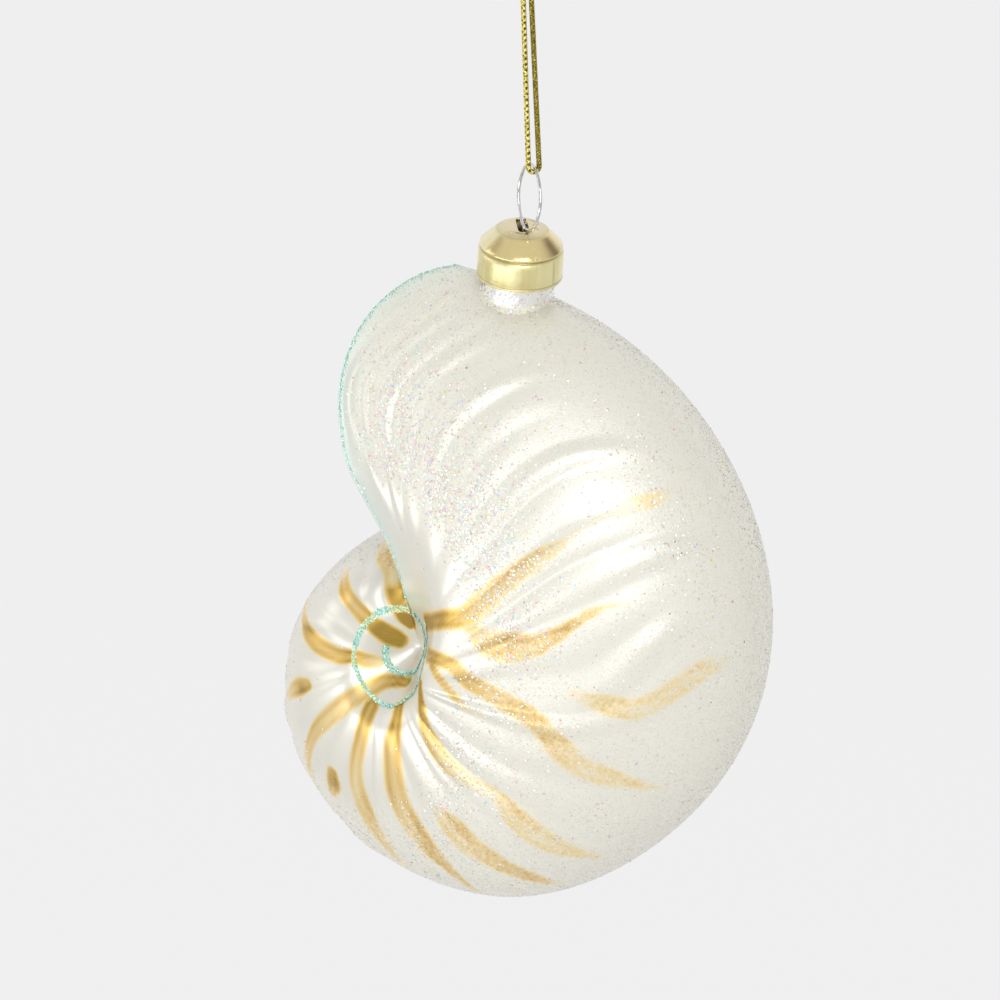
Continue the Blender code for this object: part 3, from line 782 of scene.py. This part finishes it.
def capMetal():
    finish, tree, shader = newFinish("satin pale gold")
    turnedPlace = attribute(tree, "turned", "Vector")
    lines = noise(tree, stretched(tree, turnedPlace, (0.35, 0.35, 14)), 1, 4)
    patches = noise(tree, objectPlace(tree), 160, 3)
    # tall, faint bands round the side: painted reflections of the room's edges
    bands = noise(tree, stretched(tree, turnedPlace, (0.42, 0.42, 0.02)), 1, 3)
    base = mixed(tree, mapped(tree, bands, 0.35, 0.65), *cap["gold"])
    base = mixed(tree, times(tree, mapped(tree, patches, 0.5, 0.75), 0.35), base, cap["patch"])
    cone = mixed(tree, mapped(tree, patches, 0.4, 0.65), *cap["cone"])
    # over the plating go painted reflections (the cone's warm front, its pale sides, dark spots and lines),
    # the top's own tone, and painted shade in the creases
    zones = (("sides", 0.5, cap["sides"]), ("cone", 0.85, cone), ("top", 0.85, cap["top"]),
             ("darkReflection", 0.95, cap["darkReflection"]), ("crease", 0.85, cap["creaseShade"]))
    for name, strength, colour in zones:
        base = mixed(tree, times(tree, attribute(tree, name), strength), base, colour)
    # the band is more satin than the cone, and hairline scratches run aslant over it
    satin = times(tree, maths(tree, "SUBTRACT", 1.0, attribute(tree, "cone")), 0.2)
    roughness = maths(tree, "ADD", mapped(tree, lines, 0.3, 0.7, 0.11, 0.18), satin)
    slanting = stretched(tree, turnedPlace, (0.25, 5.5, 0.8), (0.6, 0.5, 0.3))
    scratch = mapped(tree, noise(tree, slanting, 1.6, 2), 0.62, 0.68)
    height = maths(tree, "SUBTRACT", times(tree, lines, 0.5), times(tree, scratch, 0.5))
    feed(tree, shader, Base_Color=base, Roughness=roughness, Normal=bumped(tree, height, 0.25, 0.00012))
    shader.inputs["Metallic"].default_value = 1.0
    shader.inputs["Coat Weight"].default_value = 0.7
    shader.inputs["Coat IOR"].default_value = 1.8
    shader.inputs["Coat Roughness"].default_value = 0.2
    return finish


# wire: a ring with two legs that go down through the slot and spread in the neck

wire = {
    "radius": 0.3 * mm,
    "ringRadius": 5.95 * mm,
    "top": np.array([0, 0, -45.0]) * mm,
    "lean": math.radians(8.1),
    "tip": math.radians(5),
    "turn": math.radians(53),
    "gap": 1.0 * mm,
    "legSpread": 3.2 * mm,
    "legEnd": -2 * mm,
    "steel": ((0.60, 0.60, 0.59), (0.78, 0.78, 0.77)),
}


def tube(line, side, radii, sides):
    # rings round a line that lies in the plane square to `side`
    along = unit(np.gradient(line, axis=0))
    other = unit(np.cross(along, side))
    angle = np.linspace(0, 2 * math.pi, sides, endpoint=False)
    radii = np.broadcast_to(radii, (len(line), sides))[..., None]
    outwards = np.cos(angle)[None, :, None] * side + np.sin(angle)[None, :, None] * other[:, None, :]
    return line[:, None, :] + radii * outwards


def tubeMesh(name, rings):
    # both ends closed by a fan round the end ring's middle
    count, sides = rings.shape[:2]
    points = np.concatenate([rings.reshape(-1, 3), rings[:1].mean(1), rings[-1:].mean(1)])
    start = np.arange(sides)
    end = start + (count - 1) * sides
    first = np.stack([np.roll(start, -1), start, np.full(sides, count * sides)], axis=1)
    last = np.stack([end, np.roll(end, -1), np.full(sides, count * sides + 1)], axis=1)
    return makeMesh(name, points, gridFaces(count, sides, wrapColumns=True), first, last)


def wireFrame():
    # across the ring's plane, along it and up it
    leaning = Matrix.Rotation(-wire["tip"], 3, "X") @ Matrix.Rotation(wire["lean"], 3, "Y")
    return np.array(leaning @ Matrix.Rotation(wire["turn"], 3, "Z")).T


def makeWire():
    side, flat, upright = wireFrame()
    radius, foot = wire["ringRadius"], -2 * wire["ringRadius"]
    gap = math.asin(wire["gap"] / 2 / radius)
    a = np.linspace(-math.pi / 2 + gap, 1.5 * math.pi - gap, 121)
    ring = np.stack([radius * np.cos(a), radius * np.sin(a) - radius], axis=1)
    c, s = math.cos(cap["slotTurn"]), math.sin(cap["slotTurn"])
    legs = []
    for hand in (1, -1):
        seen = [(0.51 * mm, foot - 0.4 * mm), (0.53 * mm, foot - 1.2 * mm), (0.6 * mm, foot - 2.2 * mm)]
        seen = [wire["top"] + hand * beside * flat + up * upright for beside, up in seen]
        spread = hand * wire["legSpread"]
        end = neckPlace(np.array([-s * spread, c * spread, wire["legEnd"]]))
        legs.append(through([*seen, 0.55 * seen[-1] + 0.45 * end, end], np.linspace(0, 1, 18)))
    line = np.concatenate([legs[0][::-1], wire["top"] + ring[:, :1] * flat + ring[:, 1:] * upright, legs[1]])
    wobble = 0.04 * mm * np.sin(np.linspace(0, 40, len(line)))[:, None] * side
    rings = tube(line + wobble, side, wire["radius"], 14)
    finish, tree, shader = newFinish("drawn steel wire")
    drawn = noise(tree, objectPlace(tree), 900, 3)
    feed(tree, shader, Base_Color=mixed(tree, mapped(tree, drawn, 0.35, 0.65), *wire["steel"]),
         Normal=bumped(tree, drawn, 0.3, 0.0002))
    shader.inputs["Metallic"].default_value = 1.0
    shader.inputs["Roughness"].default_value = 0.16
    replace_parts(makePiece(tubeMesh("wireHanger", rings), finish), "wire_hanger")


# cord: down one strand, round under the ring's wire and up the other, both ends in the knot

cord = {
    "diameter": 1.0 * mm,
    "crown": 0.3 * mm,
    "crownSpread": 0.65 * mm,
    "bend": 1.0 * mm,
    "stitch": 1.13 * mm,
    "step": 0.075 * mm,
    "sides": 20,
    # from the gaps between the threads to their tops: painted shade in the gaps and painted highlights on
    # the tops
    "thread": [(0.0, (0.09, 0.065, 0.004)), (0.35, (0.33, 0.25, 0.025)), (0.65, (0.78, 0.66, 0.15)),
               (1.0, (1.0, 0.95, 0.55))],
}


def cordLine():
    # the strands lie side by side across the ring's plane, and close in on each other towards the crown
    side = wireFrame()[0]
    across = unit(np.array([side[0], side[1], 0]))
    crown = np.array([0, 0, cord["crown"]])
    top, bend = wire["top"], cord["bend"]
    t = np.linspace(0, 1, 18)[:-1, None]
    a = np.linspace(0, math.pi, 9)[:, None]
    spread = between((cord["crownSpread"], bend), t)
    down = crown + (top - crown) * t - across * spread
    round_ = top - bend * (np.cos(a) * across + np.sin(a) * np.array([0, 0, 1]))
    up = (crown + (top - crown) * t + across * spread)[::-1]
    coarse = np.concatenate([down, round_, up])
    run = runAlong(coarse)
    fine = np.arange(0, run[-1], cord["step"])
    smooth = np.stack([np.interp(fine, run, coarse[:, axis]) for axis in range(3)], axis=1)
    for _ in range(3):
        smooth[1:-1] = (smooth[:-2] + 2 * smooth[1:-1] + smooth[2:]) / 4
    return smooth, np.cross(across, [0, 0, 1]), across


def braided(run, angle, radius, fine):
    # stitches swell one after the other, and two families of helices cross over them as threads
    stitch = 0.5 + 0.5 * np.cos(2 * math.pi * run / cord["stitch"])
    slope = 2 * math.pi * run / cord["stitch"]
    threads = np.maximum(np.cos(3 * angle + slope), np.cos(3 * angle - slope))
    chain = 0.85 + 0.10 * stitch + 0.09 * threads
    small = 0.88 + 0.12 * np.maximum(np.cos(4 * angle + 2 * slope), np.cos(4 * angle - 2 * slope))
    return radius * (chain + (small - chain) * fine)


def threadRidge(radii, radius):
    # 0 between the threads and 1 on their tops
    return (radii / radius - 0.80) / 0.26


def cordBraid():
    finish, tree, shader = newFinish("metallic gold thread")
    glints = noise(tree, objectPlace(tree), 3200, 3)
    # the colour follows the threads' height, with noise glints: painted shade and painted highlights
    lit = maths(tree, "ADD", attribute(tree, "ridge"), swing(tree, glints, 2.0), clamp=True)
    feed(tree, shader, Base_Color=tinted(tree, lit, cord["thread"]),
         Normal=bumped(tree, glints, 0.7, 0.0004))
    shader.inputs["Metallic"].default_value = 0.8
    shader.inputs["Roughness"].default_value = 0.26
    return finish


def makeCord(finish):
    line, side, across = cordLine()
    run = runAlong(line)
    angle = np.linspace(0, 2 * math.pi, cord["sides"], endpoint=False)[None, :]
    fine = ramp(run[:, None], 0.5 * run[-1] - 1 * mm, 0.5 * run[-1] + 2 * mm)
    radii = braided(run[:, None], angle, cord["diameter"] / 2, fine)
    mesh = tubeMesh("goldCord", tube(line, side, radii, cord["sides"]))
    # lower along the second strand, which makes it darker
    ridge = np.clip(threadRidge(radii, cord["diameter"] / 2) - 0.30 * fine, 0, 1)
    addFloat(mesh, "ridge", np.concatenate([ridge.ravel(), [0, 0]]))
    piece = makePiece(mesh, finish)
    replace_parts(piece, "cord")
    return piece, line, run[-1]


knot = {
    "size": np.array([3.4, 2.8, 3.6]) * mm / 2,
    "foot": 0.6 * mm,
    "tail": 8 * mm,
    "splay": math.radians(16),
    "strand": 0.46 * mm,
    "apart": 0.30 * mm,
    "sides": 16,
}


def knotLines():
    # an overhand knot of the doubled cord: a closed trefoil of two touching strands, and two tails
    middle = np.array([0, 0, knot["foot"] + knot["size"][2]])
    wide, deep, high = knot["size"] - 0.5 * mm
    t = np.linspace(0, 2 * math.pi, 260, endpoint=False)
    loop = np.stack([wide * (np.sin(t) + 2 * np.sin(2 * t)) / 3, -0.72 * deep * np.sin(3 * t),
                     high * (np.cos(t) - 2 * np.cos(2 * t)) / 3], axis=1)
    lines = []
    for shift in (-1, 1):
        lines.append((middle + loop + shift * knot["apart"] * np.array([0.3, 0.9, 0]), True))
    s = np.linspace(0, 1, 90)[:, None]
    for hand in (-1, 1):
        lean = np.array([hand * math.sin(knot["splay"]), 0, math.cos(knot["splay"])])
        start = middle + np.array([hand * 0.35 * mm, 0, 0.6 * knot["size"][2]])
        bow = np.array([0, 0.25 * mm, 0]) * np.sin(3 * s)
        lines.append((start + lean * s * (knot["tail"] - 0.6 * mm) + bow, False))
    return lines, middle


def makeKnot(finish):
    lines, middle = knotLines()
    angle = np.linspace(0, 2 * math.pi, knot["sides"], endpoint=False)[None, :]
    points, faces, ridge, count = [], [], [], 0
    for line, closed in lines:
        step = np.roll(line, -1, axis=0) - np.roll(line, 1, axis=0) if closed else np.gradient(line, axis=0)
        ahead = unit(step)
        side = unit(np.cross(ahead, line - middle + np.array([0, 1e-5, 0])))
        other = np.cross(ahead, side)
        radii = braided(runAlong(line)[:, None], angle, knot["strand"], 0)
        if not closed:
            radii = radii * np.clip(6 * (1 - np.linspace(0, 1, len(line))), 0.05, 1)[:, None] ** 0.5
        outwards = np.cos(angle)[..., None] * side[:, None, :] + np.sin(angle)[..., None] * other[:, None, :]
        points.append((line[:, None, :] + radii[..., None] * outwards).reshape(-1, 3))
        faces.append(gridFaces(len(line), knot["sides"], wrapRows=closed, wrapColumns=True) + count)
        ridge.append(threadRidge(radii, knot["strand"]).ravel())
        count += len(line) * knot["sides"]
    mesh = makeMesh("cordKnot", np.concatenate(points), np.concatenate(faces))
    addFloat(mesh, "ridge", np.clip(np.concatenate(ridge), 0, 1))
    piece = makePiece(mesh, finish)
    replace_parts(piece, "cord_knot")
    return piece


# scattered flakes: flat shards that lie on the lacquer, each tilted its own way

def scatter(random, count, density):
    # rows and shares of points spread over the shell, by area times density(row, share)
    rows = np.concatenate([np.linspace(0, 1, 601), np.linspace(1.002, 1.2, 40)])
    shares = evenShares(200)
    shares = np.concatenate([-shares[:0:-1], shares])
    points = basePoints(rows[:, None], shares[None, :])
    corner = points[:-1, :-1]
    area = np.linalg.norm(np.cross(points[1:, :-1] - corner, points[:-1, 1:] - corner), axis=-1)
    middleRows, middleShares = (rows[1:] + rows[:-1]) / 2, (shares[1:] + shares[:-1]) / 2
    weight = (area * density(middleRows[:, None], middleShares[None, :])).ravel()
    chosen = np.searchsorted(np.cumsum(weight) / weight.sum(), random.random(count))
    i, j = np.divmod(np.minimum(chosen, len(weight) - 1), len(shares) - 1)
    u, v = random.random(count), random.random(count)
    return rows[i] + (rows[i + 1] - rows[i]) * u, shares[j] + (shares[j + 1] - shares[j]) * v


def flakes(name, random, places, normals, size, tilt, corners, colours, finish):
    # one flat face for each place, lying on the surface but for its tilt
    count = len(places)
    some = unit(random.normal(size=(count, 3)))
    leaning = unit(normals + tilt * (some - normals * np.sum(some * normals, axis=1, keepdims=True)))
    first = unit(np.cross(leaning, unit(random.normal(size=(count, 3)))))
    second = np.cross(leaning, first)
    angle = np.linspace(0, 2 * math.pi, corners, endpoint=False)[None, :]
    angle = angle + random.uniform(-0.3, 0.3, (count, corners))
    radius = size * random.uniform(0.65, 1.25, (count, 1)) * random.uniform(0.8, 1.2, (count, corners)) / 2
    spots = places[:, None, :] + (radius * np.cos(angle))[..., None] * first[:, None, :]
    spots = spots + (radius * np.sin(angle))[..., None] * second[:, None, :]
    mesh = makeMesh(name, spots.reshape(-1, 3), np.arange(count * corners).reshape(count, corners))
    addColour(mesh, "tint", np.repeat(colours, corners, axis=0))
    makePiece(mesh, finish, smooth=False)


def flakeFinish(name, metallic, roughness):
    finish, tree, shader = newFinish(name)
    feed(tree, shader, Base_Color=attribute(tree, "tint", "Color"))
    shader.inputs["Metallic"].default_value = metallic
    shader.inputs["Roughness"].default_value = roughness
    return finish


def pastel(random, count, pale, hues, shares, paleness):
    # the higher the paleness, the fewer flakes are fully coloured
    which = random.choice(len(hues), count, p=shares)
    strength = random.random((count, 1)) ** paleness
    colours = np.array(pale) * (1 - strength) + np.array(hues)[which] * strength
    return np.clip(colours * random.uniform(0.95, 1.08, (count, 1)), 0, 1)


glitter = {
    "frostCount": 120000,
    "frostSize": 0.25 * mm,
    "frostPale": (0.75, 0.738, 0.645),
    "frostOverGold": (0.77, 0.53, 0.17),
    "colourCount": 13000,
    "neckCount": 700,
    "colourSize": 0.40 * mm,
    "pale": (0.84, 0.825, 0.76),
    "hues": [(1.0, 1.0, 1.0), (0.95, 0.45, 0.58), (0.45, 0.88, 0.92), (0.95, 0.85, 0.35), (0.66, 0.46, 0.85),
             (0.45, 0.62, 0.95), (0.50, 0.88, 0.55), (0.90, 0.38, 0.30), (0.30, 0.25, 0.20)],
    "shares": [0.24, 0.19, 0.16, 0.15, 0.10, 0.06, 0.05, 0.03, 0.02],
    # turn and across of each cluster's middle, its spread in both, and its weight
    "clusters": [(0.925, 0.60, 0.05, 0.11, 5.0), (0.88, 0.60, 0.04, 0.10, 4.5),
                 (0.84, 0.62, 0.03, 0.08, 3.0), (0.955, 0.62, 0.02, 0.14, 3.0),
                 (0.79, 0.60, 0.03, 0.07, 3.0), (0.74, 0.62, 0.03, 0.05, 2.5),
                 (0.70, 0.55, 0.03, 0.06, 3.5), (0.63, 0.55, 0.03, 0.06, 3.0),
                 (0.56, 0.56, 0.03, 0.06, 2.5), (0.80, 0.90, 0.05, 0.06, 1.6),
                 (0.90, 0.90, 0.08, 0.05, 0.9), (0.50, 0.62, 0.03, 0.06, 1.5)],
}


def glitterDensity(row, share):
    across = 1 - np.abs(share)
    turn = np.clip(row, 0, 1)
    amount = 0.22 + 0 * row * share
    for middleTurn, middleAcross, wideTurn, wideAcross, weight in glitter["clusters"]:
        away = ((turn - middleTurn) / wideTurn)**2 + ((across - middleAcross) / wideAcross)**2
        amount = amount + weight * np.exp(-away)
    amount = amount * (0.45 + 0.9 * foldHeight(row, share))
    amount = amount * ramp(across - 0.06 * ramp(turn, 0.7, 0.8), 0.47, 0.52)
    return (amount * frostAmount(row, share) + 0.02 * ramp(across, 0.35, 0.5)) * (row < 1)


def makeGlitter(ground):
    random = np.random.default_rng(7)
    row, share = scatter(random, glitter["frostCount"], lambda row, share: frostAmount(row, share) + 1e-4)
    normals = baseNormals(row, share)
    places = shellPoints(row, share) + normals * (0.015 * mm)
    # the grains are clear enough for the gold to show through
    over = np.where(share < 0, strokeMask(places, -1), strokeMask(places, 1))[:, None] * 0.75
    shade = np.array(glitter["frostPale"]) * (1 - over) + np.array(glitter["frostOverGold"]) * over
    shade = np.clip(shade * random.uniform(0.86, 1.10, (len(row), 1)), 0, 1)
    flakes("frosting", random, places, normals, glitter["frostSize"], 0.14, 3, shade,
           flakeFinish("frosting grains", 0.3, 0.4))
    row, share = scatter(random, glitter["colourCount"], glitterDensity)
    normals = baseNormals(row, share)
    places = shellPoints(row, share) + normals * (0.06 * mm)
    # more of them round the neck, under the cap
    s = random.uniform(0, 1.6, glitter["neckCount"])
    angle = random.uniform(0, 2 * math.pi, glitter["neckCount"])
    middle = neckPoints(ground, s, angle)
    beside, above = neckPoints(ground, s, angle + 0.01), neckPoints(ground, s + 0.01, angle)
    out = unit(np.cross(beside - middle, above - middle))
    places, normals = np.concatenate([places, middle + out * 0.05 * mm]), np.concatenate([normals, out])
    colours = pastel(random, len(places), glitter["pale"], glitter["hues"], glitter["shares"], 1.5)
    flakes("glitter", random, places, normals, glitter["colourSize"], 0.30, 4, colours,
           flakeFinish("iridescent glitter", 0.45, 0.24))


# turquoise edge: dense glitter in a bead along the lip and round the navel in a spiral

edge = {
    # angle round the coil's axis in degrees, and distance from it in mm
    "spiral": [(171, 4.5), (226, 4.6), (285, 3.6), (345, 3.5), (399, 5.9), (441, 7.1), (476, 8.7),
               (498, 8.8), (534, 8.4), (583, 8.1), (625, 8.2), (669, 6.8), (739, 7.6), (775, 9.5)],
    "lipCount": 6000,
    "spiralCount": 4600,
    "size": 0.29 * mm,
    "halfWidth": 0.64 * mm,
    "height": 0.22 * mm,
    # the lip's bead is thickest by the keel, at share 0
    "lipShares": [0, 0.10, 0.25, 0.36, 0.50, 0.74],
    "lipThickness": [2.4, 3.0, 2.2, 1.0, 0.5, 0.45],
    "mouthDepth": 70 * mm,              # from the lip down the mouth, much the same all round
    "lipPale": (0.72, 0.90, 0.86),
    "spiralPale": (0.50, 0.79, 0.72),
    "overGold": (0.74, 0.74, 0.34),
    "hues": [(0.28, 0.76, 0.72), (0.52, 0.90, 0.86), (0.20, 0.52, 0.50), (0.45, 0.78, 0.45),
             (0.74, 0.80, 0.32), (1.0, 1.0, 1.0), (0.12, 0.28, 0.24)],
    "shares": [0.24, 0.18, 0.10, 0.16, 0.12, 0.15, 0.05],
}


def spiralPlaces(t):
    # points on the shell at the spiral's angles and distances, by looking each distance up over the flank
    angle, reach = through(edge["spiral"], t).T
    angle, reach = np.radians(angle), reach * mm
    across = np.linspace(0.02, 0.62, 240)
    turn = np.mod(1 + (angle - shell["lipAngle"]) / (2 * math.pi), 1)
    for _ in range(4):
        points, swept = whorlPoints(turn[:, None] + 0 * across, -1 + across[None, :] + 0 * turn[:, None])
        found = np.linalg.norm((points - shell["centre"])[..., [0, 2]], axis=-1)
        best = np.abs(found - reach[:, None]).argmin(axis=1)
        plain = shell["lipAngle"] + 2 * math.pi * (turn - 1)
        sweep = swept[np.arange(len(t)), best] - plain
        turn = np.clip(np.mod(1 + (angle - sweep - shell["lipAngle"]) / (2 * math.pi), 1), 0, 0.999)
    return turn, across[best]


def makeEdge():
    random = np.random.default_rng(11)
    even = evenShares(400)
    even = even[even < edge["lipShares"][-1]]
    share = np.interp(random.random(edge["lipCount"]) * len(even), np.arange(len(even)), even)
    share = share * random.choice([-1, 1], len(share))
    lip = basePoints(1.0 + 0 * share, share) - shell["centre"]
    thick = np.interp(np.abs(share), edge["lipShares"], edge["lipThickness"])
    offset = random.exponential(0.45, len(share)) * random.choice([-1, 1], len(share))
    # offsets go back along the whorl, or on down the mouth
    round_ = 2 * math.pi * np.hypot(lip[:, 0], lip[:, 2])
    row = 1 + offset * thick * edge["halfWidth"] / np.where(offset < 0, round_, edge["mouthDepth"])
    inside = np.where(np.abs(share) < 0.06, 0.1, 1.2)
    thinned = random.random(len(share)) < 0.30 + 0.70 * ramp(-np.abs(share), -0.45, -0.25)
    kept = (offset > -2.2) & (offset < inside) & thinned
    out = baseNormals(row, share)
    lift = (0.1 + 0.5 * random.random(len(share))) * edge["height"] * np.exp(-offset**2)
    places = [(basePoints(row, share) + out * lift[:, None])[kept]]
    normals = [out[kept]]
    golden = [np.zeros((len(normals[0]), 1))]
    for hand in (-1, 1):
        t = random.random(edge["spiralCount"])
        turn, across = spiralPlaces(t)
        middle = shellPoints(turn, hand * (1 - across))
        out = baseNormals(turn, hand * (1 - across))
        outward = (middle - shell["centre"]) * [1, 0, 1]
        beside = unit(outward - out * np.sum(outward * out, axis=1, keepdims=True))
        # the bead is widest at the top and at its inner end, and over a stroke its colour turns
        wide = 0.60 + 0.45 * np.clip(unit(outward)[:, 2], 0, 1) + 0.35 * (1 - ramp(t, 0.1, 0.25))
        offset = random.uniform(-1, 1, len(t)) * wide
        over = strokeMask(middle, hand)[:, None] * 0.7
        golden.append(over)
        lift = random.random(len(t)) * edge["height"] * np.exp(-offset**2)
        places.append(middle + beside * (offset * edge["halfWidth"])[:, None] + out * lift[:, None])
        normals.append(out)
    colours = np.concatenate([
        pastel(random, len(normals[0]), edge["lipPale"], edge["hues"], edge["shares"], 2.0),
        pastel(random, 2 * edge["spiralCount"], edge["spiralPale"], edge["hues"], edge["shares"], 0.8)])
    golden = np.concatenate(golden)
    colours = colours * (1 - golden) + np.array([edge["overGold"]]) * golden
    places, normals = np.concatenate(places), np.concatenate(normals)
    flakes("turquoiseEdge", random, places, normals, edge["size"], 0.5, 4, colours,
           flakeFinish("turquoise glitter", 0.4, 0.25))


# stage: pale floor, soft light from beside the camera, and a pale room all round

stage = {
    "backdrop": 0.874,
    "floorHeight": -0.42,
    "floorSize": 30,
    "room": 0.85,
    "front": 0.76,                      # how bright reflections of the room's front are, next to its back
    "towardsCamera": (math.sin(camera["azimuth"]), -math.cos(camera["azimuth"]), 0.0),
    "key": {"azimuth": 44, "elevation": 28, "distance": 1.1, "size": (0.62, 0.8), "power": 4.1},
    "bounce": {"azimuth": -8, "elevation": -14, "distance": 0.9, "size": (1.0, 0.35), "power": 2.6},
    "fill": {"azimuth": -58, "elevation": 20, "distance": 1.3, "size": (0.6, 0.9), "power": 1.5},
}


def makeLamp(name, centre):
    lamp = stage[name]
    a, e = math.radians(lamp["azimuth"]), math.radians(lamp["elevation"])
    away = Vector((math.sin(a) * math.cos(e), -math.cos(a) * math.cos(e), math.sin(e)))
    data = bpy.data.lights.new(name, "AREA")
    data.shape = "RECTANGLE"
    data.size, data.size_y = lamp["size"]
    data.energy = lamp["power"]
    made = placed(name, data)
    made.location = Vector(centre) + away * lamp["distance"]
    made.rotation_euler = away.to_track_quat("Z", "Y").to_euler()
    made.visible_camera = False


def paintBackdrop(tree, direction, kind, lit, covering, output):
    # The camera and glass see a plain pale tone instead of the lit surface or room, and reflections see it
    # darker in the room's front.
    pale = stage["backdrop"]
    path = node(tree, "ShaderNodeLightPath").outputs
    facing = node(tree, "ShaderNodeVectorMath", operation="DOT_PRODUCT")
    tree.links.new(direction, facing.inputs[0])
    facing.inputs[1].default_value = stage["towardsCamera"]
    darker = mapped(tree, facing.outputs["Value"], -0.55, -0.35, 0.0, 1 - stage["front"])
    plain = node(tree, kind, Color=(pale, pale, pale, 1))
    feed(tree, plain, Strength=maths(tree, "SUBTRACT", 1.0, times(tree, darker, path["Is Glossy Ray"])))
    seen = maths(tree, "MAXIMUM", path["Is Camera Ray"], path["Is Glossy Ray"])
    seen = maths(tree, "MAXIMUM", seen, path["Is Transmission Ray"])
    blend = node(tree, "ShaderNodeMixShader")
    feed(tree, blend, Fac=times(tree, seen, covering))
    tree.links.new(lit, blend.inputs[1])
    tree.links.new(plain.outputs[0], blend.inputs[2])
    tree.links.new(blend.outputs["Shader"], tree.nodes[output].inputs["Surface"])


def makeStage(centre):
    half, height, pale = stage["floorSize"] / 2, stage["floorHeight"], stage["backdrop"]
    corners = [(x, y, height) for x, y in ((-half, -half), (half, -half), (half, half), (-half, half))]
    mesh = makeMesh("floor", corners, np.array([[0, 1, 2, 3]]))
    floor = placed("floor", mesh)
    finish, tree, shader = newFinish("pale floor")
    shader.inputs["Base Color"].default_value = (pale, pale, pale, 1)
    shader.inputs["Roughness"].default_value = 0.9
    direction = node(tree, "ShaderNodeVectorMath", operation="NORMALIZE")
    tree.links.new(objectPlace(tree), direction.inputs[0])
    paintBackdrop(tree, direction.outputs["Vector"], "ShaderNodeEmission", shader.outputs["BSDF"], 0.85,
                  "Material Output")
    mesh.materials.append(finish)

    world = bpy.data.worlds.new("pale room")
    bpy.context.scene.world = world
    world.use_nodes = True
    tree = world.node_tree
    room = tree.nodes["Background"]
    room.inputs["Color"].default_value = (1, 0.995, 0.985, 1)
    room.inputs["Strength"].default_value = stage["room"]
    paintBackdrop(tree, node(tree, "ShaderNodeTexCoord").outputs["Generated"], "ShaderNodeBackground",
                  room.outputs["Background"], 1.0, "World Output")
    for name in ("key", "fill", "bounce"):
        makeLamp(name, centre)


bpy.context.scene.view_settings.view_transform = "Standard"
makeCamera(shell["centre"])
makeStage(shell["centre"])
print("stage and camera made")

braid = cordBraid()
cordPiece, cordPath, cordLength = makeCord(braid)
knotPiece = makeKnot(braid)
print("cord and knot made")

makeCap()
makeWire()
neckBody = neckGround()
makeNeck(neckBody)
print("cap, wire and neck made")

makeShell()
print("shell made")
makeGlitter(neckBody)
makeEdge()
print("glitter made")
